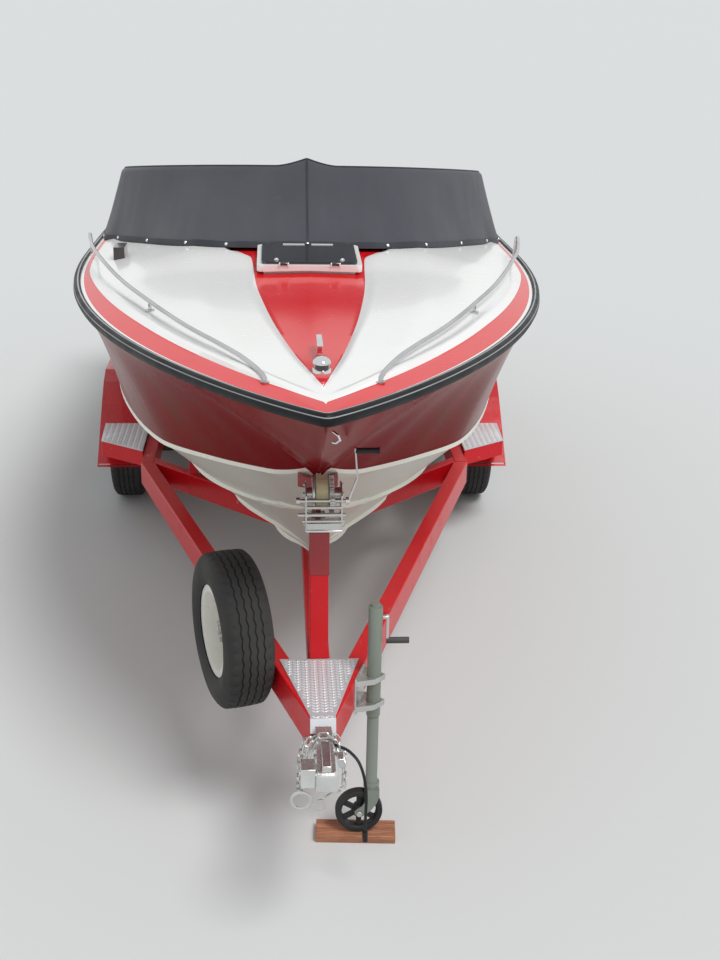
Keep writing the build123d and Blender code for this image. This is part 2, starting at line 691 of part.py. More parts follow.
with BuildPart() as tread_plates:
    for name, side in SIDES:
        with BuildSketch(Plane.XY.offset(STEP_TOP)):
            with BuildLine():
                Polyline(
                    (side * in_x, in_y), (side * out_x, out_y), (side * (out_x + 16), PLATE_BACK),
                    (side * in_x, PLATE_BACK), close=True,
                )
            make_face()
        extrude(amount=PLATE_THICK)

# Tongue plate over the rails' noses, and the surge coupler ahead of it with the ball socket.
TONGUE_PLATE = ((163.0, 0.0), (49.0, -448.0))
with BuildPart() as tongue_plate:
    with BuildSketch():
        with BuildLine():
            (back_x, back_y), (nose_x, nose_y) = TONGUE_PLATE
            Polyline((-back_x, back_y), (back_x, back_y), (nose_x, nose_y), (-nose_x, nose_y), close=True)
        make_face()
    extrude(amount=PLATE_THICK)

BALL_Y = -815.0
BALL_Z = -70.0
BALL_RADIUS = 25.6
with BuildPart() as coupler:
    with BuildSketch(station(TONGUE_Y)):
        with Locations((0, -52)):
            Rectangle(98, 112)
            Rectangle(84, 98, mode=Mode.SUBTRACT)
    extrude(amount=130)
    with BuildSketch(station(TONGUE_Y)):
        with Locations((0, -52)):
            Rectangle(64, 78)
    extrude(amount=290)
    with BuildSketch(station(TONGUE_Y)):
        with Locations((0, -52)):
            Rectangle(98, 112)
    extrude(amount=8)
    with BuildSketch(Plane.XY.offset(BALL_Z - 42)):
        with Locations((0, BALL_Y + 20)):
            RectangleRounded(86, 150, 26)
    extrude(amount=84)
    with BuildSketch(Plane.XY.offset(BALL_Z - 30)):
        with Locations((-62, BALL_Y + 8)):
            Rectangle(44, 74)
    extrude(amount=78)
    with BuildSketch(Plane.XY.offset(BALL_Z - 42)):
        with Locations((0, BALL_Y)):
            Circle(BALL_RADIUS)
    extrude(amount=52, mode=Mode.SUBTRACT)
    with BuildSketch(Plane.YZ):
        with BuildLine():
            Polyline((BALL_Y - 30, BALL_Z + 36), (BALL_Y - 30, BALL_Z + 62), (BALL_Y + 120, BALL_Z + 86), (BALL_Y + 120, BALL_Z + 74), (BALL_Y + 10, BALL_Z + 36), close=True)
        make_face()
    extrude(amount=16, both=True)
print("coupler", len(coupler.part.solids()))

# Safety chains: links laid along each run, every other one turned on edge.
LINK_BAR = 7.0
LINK_LONG = 46.0
LINK_WIDE = 27.0
LINK_PITCH = LINK_LONG - 2 * LINK_BAR - 1.8
CHAIN_RUNS = (
    ((-86, -415, -70), (-76, -560, -135), (-78, -700, -165), (-92, -790, -175)),
    ((86, -415, -70), (78, -540, -135), (56, -660, -185), (12, -728, -212), (-34, -762, -218)),
)


def half_link(grow):
    a, b, c = LINK_LONG / 2 - grow, LINK_WIDE / 2 - grow, (LINK_WIDE / 2 - grow) * 0.45
    quarter = [(a, c), (a - b + c, b)]
    return quarter + [(-x, y) for x, y in reversed(quarter)] + [(-x, -y) for x, y in quarter] + [(x, -y) for x, y in reversed(quarter)]


with BuildPart() as safety_chains:
    for run in CHAIN_RUNS:
        path = Edge.make_spline([Vector(*p) for p in run])
        ends = [path.position_at(k * LINK_PITCH / path.length) for k in range(int(path.length // LINK_PITCH) + 1)]
        for turn, (a, b) in enumerate(zip(ends, ends[1:])):
            along = (b - a).normalized()
            flat = Plane((a + b) / 2, x_dir=along, z_dir=along.cross(Vector(0, 0, 1)).normalized())
            plane = flat if turn % 2 else Plane(flat.origin, x_dir=along, z_dir=flat.y_dir)
            with BuildSketch(plane.offset(-LINK_BAR / 2)):
                with BuildLine():
                    Polyline(*half_link(0), close=True)
                make_face()
                with BuildLine():
                    Polyline(*half_link(LINK_BAR), close=True)
                make_face(mode=Mode.SUBTRACT)
            extrude(amount=LINK_BAR)
print("chains", len(safety_chains.part.solids()))

# Winch: raked stand on the tongue, side plates, drum, gear, strap to the bow eye, crank.
POST_FOOT = (150.0, PLATE_THICK)
POST_HEAD = (225.0, 455.0)
POST_SIDE = 74.0
with BuildPart() as winch_stand:
    with BuildSketch(Plane.YZ):
        with BuildLine():
            half = POST_SIDE / 2
            Polyline(
                (POST_FOOT[0] - half, 0), (POST_FOOT[0] + half, 0), (POST_HEAD[0] + half, POST_HEAD[1]),
                (POST_HEAD[0] - half, POST_HEAD[1]), close=True,
            )
        make_face()
    extrude(amount=POST_SIDE / 2, both=True)
    with BuildSketch():
        with Locations((0, POST_FOOT[0])):
            Rectangle(330, 150)
    extrude(amount=8)
    with BuildSketch(Plane.XY.offset(POST_HEAD[1])):
        with Locations((20, 215)):
            Rectangle(130, 110)
    extrude(amount=10)
WINCH_LOW = POST_HEAD[1] + 10
DRUM_Y, DRUM_Z = 205.0, 590.0
with BuildPart() as winch:
    for x in (-52.0, 58.0):
        with BuildSketch(Plane.YZ.offset(x)):
            with BuildLine():
                Polyline(
                    (DRUM_Y - 52, WINCH_LOW), (DRUM_Y + 52, WINCH_LOW), (DRUM_Y + 52, DRUM_Z + 30),
                    (DRUM_Y + 20, DRUM_Z + 70), (DRUM_Y - 30, DRUM_Z + 70), (DRUM_Y - 52, DRUM_Z + 30), close=True,
                )
            make_face()
        extrude(amount=6)
    with BuildSketch(Plane.YZ.offset(-66)):
        with Locations((DRUM_Y, DRUM_Z)):
            Circle(12)
    extrude(amount=140)
    with BuildSketch(Plane.YZ.offset(-46)):
        with Locations((DRUM_Y, DRUM_Z)):
            Circle(34)
    extrude(amount=104)
    with BuildSketch(Plane.YZ.offset(66)):
        with Locations((DRUM_Y, DRUM_Z)):
            Circle(56)
        with Locations((DRUM_Y - 10, DRUM_Z + 40)):
            Circle(24)
    extrude(amount=16)
    with BuildSketch(Plane.YZ.offset(60)):
        with Locations((DRUM_Y - 10, DRUM_Z + 40)):
            Circle(9)
    extrude(amount=40)
with BuildPart() as winch_handle:
    handle_x, handle_y, handle_z = 112.0, DRUM_Y - 10, DRUM_Z + 40
    with BuildSketch(Plane.YZ.offset(100)):
        with Locations((handle_y, handle_z)):
            Circle(18)
    extrude(amount=20)
    with BuildSketch(station(handle_y - 8)):
        with BuildLine():
            Polyline((104, handle_z), (120, handle_z), (156, handle_z + 225), (140, handle_z + 225), close=True)
        make_face()
    extrude(amount=-16)
    with BuildSketch(Plane.YZ.offset(146)):
        with Locations((handle_y, handle_z + 212)):
            Circle(15)
    extrude(amount=108)
STRAP_WIDE = 50.0
with BuildPart() as winch_strap:
    with BuildSketch(Plane.YZ.offset(6)):
        with Locations((DRUM_Y, DRUM_Z)):
            Circle(40)
            Circle(34, mode=Mode.SUBTRACT)
    extrude(amount=STRAP_WIDE / 2, both=True)
    with BuildSketch(Plane.YZ.offset(6)):
        with BuildLine():
            Polyline((DRUM_Y - 8, DRUM_Z + 38), (DRUM_Y - 4, DRUM_Z + 35), (246, 716), (242, 718), close=True)
        make_face()
    extrude(amount=STRAP_WIDE / 2, both=True)
print("strap", len(winch_strap.part.solids()))
with BuildPart() as bow_stop:
    with BuildSketch(Plane.YZ):
        with BuildLine():
            Polyline((262, 470), (300, 470), (345, 640), (305, 640), close=True)
        make_face()
    extrude(amount=12, both=True)
    for name, side in SIDES:
        with BuildSketch(Plane.XY.offset(600)):
            with BuildLine():
                Polyline((0, 290), (side * 84, 340), (side * 84, 400), (side * 70, 400), (side * 70, 365), (0, 325), close=True)
            make_face()
        extrude(amount=50)
    with BuildSketch(Plane.XY.offset(POST_HEAD[1])):
        with Locations((0, 281)):
            Rectangle(60, 38)
    extrude(amount=15)
    add(hull.part, mode=Mode.SUBTRACT)
    add(winch_stand.part, mode=Mode.SUBTRACT)
    add(winch.part, mode=Mode.SUBTRACT)
print("bow stop", len(bow_stop.part.solids()))

# Jack: mount on the port drawbar, tube, sliding leg, wheel in its fork, crank on top.
JACK_X, JACK_Y = 218.0, -127.0
JACK_TOP, JACK_LOW = 303.0, -184.0
JACK_OUT, JACK_IN = 28.5, 24.0
LEG_TOP, LEG_LOW = -40.0, -500.0
JACK_WHEEL_X = 168.0
JACK_WHEEL_RADIUS = 99.0
JACK_WHEEL_HALF = 22.0
BOARD = (-10.0, 325.0, -232.0, -88.0, 38.0)
SETTLE = 0.3
wheel_floor = BOARD[4] + SETTLE + JACK_WHEEL_RADIUS * cos(radians(NOSE_UP)) + JACK_WHEEL_HALF * sin(radians(NOSE_UP))
JACK_WHEEL_Z = (wheel_floor - PIVOT_Z + (JACK_Y - PIVOT_Y) * sin(radians(NOSE_UP))) / cos(radians(NOSE_UP))
print("jack wheel z", JACK_WHEEL_Z)
with BuildPart() as jack_tube:
    with BuildSketch(Plane.XY.offset(JACK_LOW)):
        with Locations((JACK_X, JACK_Y)):
            Circle(JACK_OUT)
    extrude(amount=JACK_TOP - JACK_LOW)
    with BuildSketch(Plane.XY.offset(JACK_LOW)):
        with Locations((JACK_X, JACK_Y)):
            Circle(JACK_IN + FIT)
    extrude(amount=JACK_TOP - JACK_LOW - 12, mode=Mode.SUBTRACT)
    with BuildSketch(Plane.XY.offset(JACK_TOP)):
        with Locations((JACK_X, JACK_Y)):
            Circle(18)
    extrude(amount=12)
with BuildPart() as jack_mount:
    face_x = draw_outer(JACK_Y)
    with BuildSketch(Plane.XY.offset(-140)):
        with BuildLine():
            Polyline(
                (draw_outer(-190), -190), (draw_outer(-60), -60), (draw_outer(-60) + 8, -60), (JACK_X, JACK_Y + 46),
                (JACK_X + 46, JACK_Y), (JACK_X, JACK_Y - 46), (draw_outer(-190) + 8, -190), close=True,
            )
        make_face()
    extrude(amount=24)
    with BuildSketch(Plane.XY.offset(-24)):
        with BuildLine():
            Polyline(
                (draw_outer(-190), -190), (draw_outer(-60), -60), (draw_outer(-60) + 8, -60), (JACK_X, JACK_Y + 46),
                (JACK_X + 46, JACK_Y), (JACK_X, JACK_Y - 46), (draw_outer(-190) + 8, -190), close=True,
            )
        make_face()
    extrude(amount=24)
    with BuildSketch(Plane.XY.offset(-150)):
        with BuildLine():
            Polyline(
                (draw_outer(-190), -190), (draw_outer(-60), -60), (draw_outer(-60) + 8, -60),
                (draw_outer(-190) + 8, -190), close=True,
            )
        make_face()
    extrude(amount=160)
    with BuildSketch(Plane.XY.offset(-200)):
        with Locations((JACK_X, JACK_Y)):
            Circle(JACK_OUT)
    extrude(amount=300, mode=Mode.SUBTRACT)
    for part in rails.values():
        add(part.part, mode=Mode.SUBTRACT)
with BuildPart() as jack_leg:
    with BuildSketch(Plane.XY.offset(LEG_LOW)):
        with Locations((JACK_X, JACK_Y)):
            Circle(JACK_IN)
    extrude(amount=LEG_TOP - LEG_LOW)
    with BuildSketch(Plane.XY.offset(LEG_LOW - 22)):
        with Locations((JACK_X, JACK_Y)):
            Circle(33)
    extrude(amount=22)
fork_z = LEG_LOW - 22
with BuildPart() as jack_fork:
    with BuildSketch(Plane.XY.offset(fork_z)):
        with Locations(((JACK_X + JACK_WHEEL_X) / 2, JACK_Y)):
            Rectangle(JACK_X - JACK_WHEEL_X + 60, 2 * JACK_WHEEL_HALF + 24)
    extrude(amount=-6)
    for face in (-1, 1):
        with BuildSketch(station(JACK_Y + face * (JACK_WHEEL_HALF + 6))):
            with BuildLine():
                Polyline(
                    (JACK_WHEEL_X - 30, fork_z), (JACK_X + 30, fork_z), (JACK_X + 10, fork_z - 70),
                    (JACK_WHEEL_X + 20, JACK_WHEEL_Z - 18), (JACK_WHEEL_X - 20, JACK_WHEEL_Z - 18), close=True,
                )
            make_face()
        extrude(amount=-face * 6)
    with BuildSketch(station(JACK_Y - JACK_WHEEL_HALF - 12)):
        with Locations((JACK_WHEEL_X, JACK_WHEEL_Z)):
            Circle(8)
    extrude(amount=-2 * (JACK_WHEEL_HALF + 12))
with BuildPart() as jack_wheel:
    with BuildSketch(station(JACK_Y - JACK_WHEEL_HALF)):
        with Locations((JACK_WHEEL_X, JACK_WHEEL_Z)):
            Circle(JACK_WHEEL_RADIUS)
            Circle(8 + FIT, mode=Mode.SUBTRACT)
            with PolarLocations(50, 6):
                SlotOverall(40, 20, rotation=90, mode=Mode.SUBTRACT)
    extrude(amount=-2 * JACK_WHEEL_HALF)
with BuildPart() as jack_crank:
    with BuildSketch(Plane.YZ.offset(JACK_X + JACK_OUT)):
        with Locations((JACK_Y, 255)):
            Circle(9)
    extrude(amount=22)
    with BuildSketch(station(JACK_Y - 6)):
        with BuildLine():
            Polyline((JACK_X + 44, 268), (JACK_X + 54, 268), (JACK_X + 54, 140), (JACK_X + 44, 140), close=True)
        make_face()
    extrude(amount=-12)
    with BuildSketch(Plane.YZ.offset(JACK_X + 44)):
        with Locations((JACK_Y, 152)):
            Circle(13)
    extrude(amount=92)
print("crank", len(jack_crank.part.solids()), "fork", len(jack_fork.part.solids()))

with BuildPart() as board:
    left, right, ahead, behind, thick = BOARD
    with BuildSketch():
        with Locations(((left + right) / 2, (ahead + behind) / 2 - MID_Y)):
            Rectangle(right - left, behind - ahead)
    extrude(amount=thick)

# Spare wheel on the starboard drawbar, square to the rail, with its carrier.
SPARE_Y, SPARE_Z = 150.0, 73.0
draw_turn = degrees(atan2(DRAW_SLOPE, 1))
SPARE_OFF = TYRE_HALF + 10.0
spare_x = -draw_outer(SPARE_Y) - SPARE_OFF / cos(radians(draw_turn))
spare_place = Location((spare_x, SPARE_Y, SPARE_Z), (0, 0, draw_turn))
spare_tyre = make_tyre(0, 0, 0)
spare_rim = make_rim(0, 0, 0, -1)
for piece in (spare_tyre, spare_rim):
    piece.part.move(spare_place)
with BuildPart() as spare_carrier:
    with BuildSketch(Plane.YZ.offset(0)):
        Circle(HUB_BORE - 0.05)
    extrude(amount=-10)
    with BuildSketch(Plane.YZ.offset(0)):
        Circle(18)
    extrude(amount=SPARE_OFF)
    with BuildSketch(Plane.YZ.offset(HUB_BACK)):
        Circle(50)
    extrude(amount=14)
    with BuildSketch(Plane.YZ.offset(SPARE_OFF - 8)):
        with Locations((0, -SPARE_Z - 40)):
            Rectangle(110, 260)
    extrude(amount=8)
spare_carrier.part.move(spare_place)

# Lamps, blank plate and its bracket on the tail of the frame.
with BuildPart() as tail_lights:
    for name, side in SIDES:
        with BuildSketch(Plane.XY.offset(-110)):
            with Locations((side * (FRAME_HALF + 110), 5470)):
                Rectangle(200, 40)
        extrude(amount=95)
with BuildPart() as light_brackets:
    for name, side in SIDES:
        with BuildSketch(Plane.XY.offset(-118)):
            with Locations((side * (FRAME_HALF + 105), 5447)):
                Rectangle(210, 6)
        extrude(amount=110)
with BuildPart() as plate_bracket:
    with BuildSketch(station(5500)):
        with Locations((-720, -190)):
            Rectangle(310, 165)
    extrude(amount=-6)
    with BuildSketch(station(5494)):
        with Locations((-720, -150)):
            Rectangle(60, 120)
    extrude(amount=-6)
    with BuildSketch(Plane.XY.offset(-118)):
        with Locations((-720, 5485)):
            Rectangle(60, 42)
    extrude(amount=8)
print("plate", len(plate_bracket.part.solids()))

# Deck fittings: bow light, cleat, horn, bow eye and stern eyes.
with BuildPart() as bow_light:
    with BuildSketch(Plane.XY.offset(1200)):
        with Locations((0, 0)):
            SlotOverall(110, 62, rotation=90)
    extrude(amount=66)
    with BuildSketch(Plane.XY.offset(1266)):
        with Locations((0, 5)):
            Circle(22)
    extrude(amount=22)
    add(deck.part, mode=Mode.SUBTRACT)
with BuildPart() as deck_fittings:
    with BuildSketch(Plane.XY.offset(1200)):
        with Locations((0, 290 - 38), (0, 290 + 38)):
            Rectangle(22, 22)
    extrude(amount=68)
    with BuildSketch(Plane.YZ):
        with BuildLine():
            Polyline((195, 1272), (230, 1262), (350, 1262), (385, 1272), (350, 1282), (230, 1282), close=True)
        make_face()
    extrude(amount=12, both=True)
    with BuildSketch(Plane.XY.offset(1170)):
        with Locations((-1020, 2440)):
            Rectangle(60, 150)
    extrude(amount=90)
    for side in (-1, 1):
        with BuildSketch(Plane.XY.offset(1100)):
            with Locations((side * 1050, 5380), (side * 1050, 5440)):
                Rectangle(22, 22)
        extrude(amount=90)
        with BuildSketch(Plane.YZ.offset(side * 1050 - 12)):
            with BuildLine():
                Polyline((5330, 1190), (5490, 1190), (5480, 1206), (5340, 1206), close=True)
            make_face()
        extrude(amount=24)
    add(deck.part, mode=Mode.SUBTRACT)
    add(hull.part, mode=Mode.SUBTRACT)
    add(cover.part, mode=Mode.SUBTRACT)
print("fittings", len(deck_fittings.part.solids()), [round(v.volume) for v in deck_fittings.part.solids()])
with BuildPart() as hull_eyes:
    with BuildSketch(Plane.YZ):
        with BuildLine():
            Polyline((238, 700), (238, 730), (300, 730), (300, 700), close=True)
        make_face()
    extrude(amount=9, both=True)
    for side in (-1, 1):
        with BuildSketch(station(TRANSOM_Y - 10)):
            with Locations((side * 700, 560)):
                Rectangle(18, 80)
        extrude(amount=-50)
        with BuildSketch(Plane.YZ.offset(side * 700 - 15)):
            with Locations((TRANSOM_Y + 22, 560)):
                Circle(12)
        extrude(amount=30, mode=Mode.SUBTRACT)
    add(hull.part, mode=Mode.SUBTRACT)
print("eyes", len(hull_eyes.part.solids()), [round(v.volume) for v in hull_eyes.part.solids()])

# Lighting cable from the tongue, hanging to its plug.
CABLE_RADIUS = 4.0
CABLE = ((74, -430, -116), (95, -500, -190), (140, -480, -300), (165, -455, -420), (170, -450, -520))
with BuildPart() as light_cable:
    with BuildLine() as run:
        FilletPolyline(*CABLE, radius=bend_radii(CABLE))
    with BuildSketch(Plane(run.line @ 0, z_dir=run.line % 0)):
        Circle(CABLE_RADIUS)
    sweep(path=run.line)
with BuildPart() as cable_plug:
    with BuildSketch(Plane(CABLE[-1], z_dir=run.line % 1)):
        Circle(11)
    extrude(amount=46)
print("cable bends", bend_radii(CABLE))

pieces = {
    "hull": hull, "deck": deck, "rub_rail": rub_rail, "hatch_frame": hatch_frame, "hatch_lid": hatch_lid,
    "cover": cover, "bow_rails": bow_rails, "bow_light": bow_light, "deck_fittings": deck_fittings,
    "hull_eyes": hull_eyes, "engine": engine, "drive_mount": drive_mount, "drive_yoke": drive_yoke,
    "drive_leg": drive_leg, "propeller": propeller, **rails, "cross_members": cross_members,
    "bunk_posts": bunk_posts, "bunks": bunks, "axles": axles, **wheel_parts, **fender_parts,
    "step_beams": step_beams, "tread_plates": tread_plates, "tongue_plate": tongue_plate,
    "coupler": coupler, "safety_chains": safety_chains, "winch_stand": winch_stand, "winch": winch,
    "winch_handle": winch_handle, "winch_strap": winch_strap, "bow_stop": bow_stop,
    "jack_mount": jack_mount, "jack_tube": jack_tube, "jack_leg": jack_leg, "jack_fork": jack_fork,
    "jack_wheel": jack_wheel, "jack_crank": jack_crank, "spare_tyre": spare_tyre,
    "spare_rim": spare_rim, "spare_carrier": spare_carrier, "tail_lights": tail_lights,
    "light_brackets": light_brackets, "plate_bracket": plate_bracket, "light_cable": light_cable,
    "cable_plug": cable_plug,
}
with winch_strap:
    add(hull_eyes.part, mode=Mode.SUBTRACT)
for name, piece in pieces.items():
    finish(piece, name)
finish(board, "board", Location())
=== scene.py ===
from math import copysign, cos, pi, radians, sin

import bmesh
import bpy
from mathutils import Matrix, Vector, noise


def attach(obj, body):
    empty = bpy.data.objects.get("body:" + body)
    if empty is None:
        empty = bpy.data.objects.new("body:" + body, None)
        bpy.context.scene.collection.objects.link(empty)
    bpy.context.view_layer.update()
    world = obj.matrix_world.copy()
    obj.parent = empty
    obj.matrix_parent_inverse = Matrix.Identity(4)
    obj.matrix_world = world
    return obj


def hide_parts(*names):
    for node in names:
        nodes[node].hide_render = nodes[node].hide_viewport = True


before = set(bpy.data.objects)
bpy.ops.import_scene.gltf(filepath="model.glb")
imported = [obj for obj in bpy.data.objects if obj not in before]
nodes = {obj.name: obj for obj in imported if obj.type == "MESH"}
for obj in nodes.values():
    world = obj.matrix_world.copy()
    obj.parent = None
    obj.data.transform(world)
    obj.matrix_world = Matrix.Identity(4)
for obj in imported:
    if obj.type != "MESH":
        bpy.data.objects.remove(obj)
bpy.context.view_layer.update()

# The rig is drawn level: bow towards -Y, port side +X, Z = 0 on top of the frame rails and
# Y = 0 at the rear edge of the tongue plate. Then it is set nose-up, as it stands on its jack.
NOSE_UP = radians(3.5)
PIVOT_Y, PIVOT_Z, MID_Y = 2.435, 0.620, 2.6636
PARKED = (
    Matrix.Translation((0, PIVOT_Y - MID_Y, PIVOT_Z))
    @ Matrix.Rotation(-NOSE_UP, 4, "X")
    @ Matrix.Translation((0, -PIVOT_Y, 0))
)
SIDES = {"starboard": -1, "port": 1}

# Camera: eye height well above the bow, looking aft and down over the foredeck.
EYE = Vector((-0.177, -7.2476, 3.602))
YAW, PITCH, ROLL = radians(4.078), radians(23.777), radians(-1.457)
FOCAL, SENSOR = 48.75, 36.0


def added(name, data):
    """A new object in the scene."""
    made = bpy.data.objects.new(name, data)
    bpy.context.scene.collection.objects.link(made)
    return made


look = Vector((sin(YAW) * cos(PITCH), cos(YAW) * cos(PITCH), -sin(PITCH)))
level = Vector((cos(YAW), -sin(YAW), 0))
down = look.cross(level)
across = level * cos(ROLL) + down * sin(ROLL)
upward = level * sin(ROLL) - down * cos(ROLL)
camera = added("camera", bpy.data.cameras.new("camera"))
camera.data.sensor_fit = "VERTICAL"
camera.data.sensor_height = SENSOR
camera.data.lens = FOCAL
camera.matrix_world = Matrix.Translation(EYE) @ Matrix((across, upward, -look)).transposed().to_4x4()
bpy.context.scene.camera = camera

# Lighting cable: 12 mm black sheath, out over the coupler's shank and down in one long bend to
# its moulded plug, which hangs clear of the jack wheel. Points in millimetres.
CABLE = (
    (30, -600, -30), (76, -596, -48), (112, -556, -104), (140, -500, -175), (162, -462, -260),
    (174, -446, -350), (172, -450, -440), (170, -450, -520),
)
CABLE_DIAMETER, CABLE_LENGTH = 0.012, 0.57
CREASE = radians(35)
ROUGH_SPREAD = 0.12


class Wire:
    """An output socket of a material; the operators add the Math nodes that work on it."""

    def __init__(self, tree, socket=None):
        self.tree, self.socket = tree, socket

    def node(self, kind, settings=None, sockets=None, output=0):
        """A node of that kind: its settings first, then values or links; a grey may be one number."""
        made = self.tree.nodes.new(kind)
        for name, value in (settings or {}).items():
            setattr(made, name, value)
        for key, value in (sockets or {}).items():
            if isinstance(value, Wire):
                self.tree.links.new(value.socket, made.inputs[key])
            elif made.inputs[key].type == "RGBA":
                made.inputs[key].default_value = (*(value if isinstance(value, tuple) else (value,) * 3), 1)
            else:
                made.inputs[key].default_value = value
        return Wire(self.tree, made.outputs[output] if made.outputs else None)

    def math(self, operation, *values):
        return self.node("ShaderNodeMath", {"operation": operation}, dict(enumerate(values)))

    def __add__(self, other):
        return self.math("ADD", self, other)

    def __rsub__(self, other):
        return self.math("SUBTRACT", other, self)

    def __mul__(self, other):
        return self.math("MULTIPLY", self, other)

    def __gt__(self, other):
        return self.math("GREATER_THAN", self, other)

    __radd__, __rmul__ = __add__, __mul__

    def clear(self, low, high):
        """This value as a share of the way from low to high, kept from 0 to 1."""
        return self.node(
            "ShaderNodeMapRange", {"interpolation_type": "SMOOTHSTEP"},
            {"Value": self, "From Min": low, "From Max": high},
        )

    def mix(self, one, other):
        """Colour one where this is 0, the other where it is 1, through the Mix node's colour sockets."""
        return self.node("ShaderNodeMix", {"data_type": "RGBA"}, {0: self, 6: one, 7: other}, 2)

    def noise(self, scale, detail=3.0):
        return self.node("ShaderNodeTexNoise", {}, {"Vector": self, "Scale": scale, "Detail": detail})

    def bump(self, distance, strength=1.0):
        return self.node("ShaderNodeBump", {}, {"Height": self, "Distance": distance, "Strength": strength})

    def part(self, axis):
        return self.node("ShaderNodeSeparateXYZ", {}, {0: self}, "XYZ".index(axis))

    def stretched(self, x, y, z):
        return self.node("ShaderNodeVectorMath", {"operation": "MULTIPLY"}, {0: self, 1: (x, y, z)})


def new_finish(name):
    """An empty material, and its Object coordinates to start from."""
    material = bpy.data.materials.new(name)
    material.use_nodes = True
    material.node_tree.nodes.clear()
    return material, Wire(material.node_tree).node("ShaderNodeTexCoord", output="Object")


def surface(place, sockets):
    shader = place.node("ShaderNodeBsdfPrincipled", {}, sockets)
    place.node("ShaderNodeOutputMaterial", {}, {"Surface": shader})


def grained(name, colour, other, rough, grain=80, depth=0.0004, metal=0, coat=0, sheen=0, gloss=0.5):
    """A finish of two near colours that drift over the surface, with a fine grain in relief."""
    material, place = new_finish(name)
    surface(place, {
        "Base Color": place.noise(3.0, 4.0).clear(0.35, 0.65).mix(colour, other),
        "Roughness": place.noise(9.0).clear(0.3, 0.7) * ROUGH_SPREAD + (rough - ROUGH_SPREAD / 2),
        "Metallic": metal, "Coat Weight": coat, "Sheen Weight": sheen, "Specular IOR Level": gloss,
        "Normal": place.noise(grain, 4.0).bump(depth),
    })
    return material


def rounded(piece, width):
    """Gives a piece small rounds along its sharp edges."""
    edge = piece.modifiers.new("edge", "BEVEL")
    edge.width, edge.segments, edge.limit_method, edge.angle_limit = width, 2, "ANGLE", CREASE


def dress(names, finish, soften=0.0025, other=None, where=None):
    """Gives CAD nodes a finish and small rounds, and a second finish to the faces that where picks."""
    for name in names.split():
        node = nodes[name]
        node.data.materials.clear()
        node.data.materials.append(finish)
        if other:
            node.data.materials.append(other)
            to_rig = PARKED.inverted() @ node.matrix_world
            for face in node.data.polygons:
                face.material_index = int(where(to_rig @ face.center))
        node.modifiers.new("weld", "WELD").merge_threshold = 0.00002
        rounded(node, soften)


def settle(piece, finishes, body="rig", stands_for=(), place=PARKED):
    """Gives a piece its finishes, parks it, and lets it ride on its body."""
    for finish in finishes:
        piece.data.materials.append(finish)
    piece.matrix_world = place
    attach(piece, body)
    if stands_for:
        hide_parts(*stands_for)
    return piece


cable_run = bpy.data.curves.new("lighting_cable", "CURVE")
cable_run.dimensions = "3D"
cable_line = cable_run.splines.new("NURBS")
cable_line.points.add(len(CABLE) - 1)
for point, corner in zip(cable_line.points, CABLE):
    point.co = (*(Vector(corner) / 1000), 1)
cable_line.order_u, cable_line.use_endpoint_u = 3, True
cable_run.bevel_depth, cable_run.bevel_resolution, cable_run.resolution_u = CABLE_DIAMETER / 2, 4, 16
cable = added("lighting_cable", cable_run)
sheath = grained("cable_sheath", (0.010, 0.010, 0.011), 0.016, 0.5, 300, 0.0002, gloss=0.3)
settle(cable, [sheath], stands_for=["light_cable"])
dress("cable_plug", sheath, 0.002)

# Floor, sky and sun: a pale floor that keeps the rig's shadow, under a soft bright sky that looks
# pale to the camera and in reflections.
FLOOR_HALF, FLOOR_TONE = 60.0, (0.62, 0.63, 0.62)
SKY_LIGHT, SKY_SEEN = ((0.94, 0.97, 1.0), 0.66), ((0.80, 0.82, 0.82), 1.0)
SUN_POWER, SUN_SPREAD, SUN_TURN = 1.85, radians(22), (radians(24), radians(16), radians(10))
floor_mesh = bpy.data.meshes.new("floor")
floor_mesh.from_pydata([(x, y, 0) for x, y in ((-1, -1), (1, -1), (1, 1), (-1, 1))], [], [(0, 1, 2, 3)])
floor_mesh.transform(Matrix.Scale(FLOOR_HALF, 4))
floor = added("floor", floor_mesh)
floor_finish, floor_place = new_finish("floor_pale")
surface(floor_place, {"Base Color": FLOOR_TONE, "Roughness": 0.9, "Specular IOR Level": 0.1})
floor.data.materials.append(floor_finish)
world = bpy.data.worlds.new("sky")
world.use_nodes = True
world.node_tree.nodes.clear()
sky = Wire(world.node_tree)
kinds = ("Camera", "Glossy", "Transmission")
rays = [sky.node("ShaderNodeLightPath", output=f"Is {kind} Ray") for kind in kinds]
seen = (rays[0] + rays[1] + rays[2]) > 0.5
skies = [sky.node("ShaderNodeBackground", {}, {"Color": c, "Strength": s}) for c, s in (SKY_LIGHT, SKY_SEEN)]
shared_sky = sky.node("ShaderNodeMixShader", {}, {0: seen, 1: skies[0], 2: skies[1]})
sky.node("ShaderNodeOutputWorld", {}, {"Surface": shared_sky})
bpy.context.scene.world = world
sun = added("sun", bpy.data.lights.new("sun", "SUN"))
sun.data.energy, sun.data.angle, sun.rotation_euler = SUN_POWER, SUN_SPREAD, SUN_TURN
bpy.context.scene.view_settings.view_transform = "Standard"

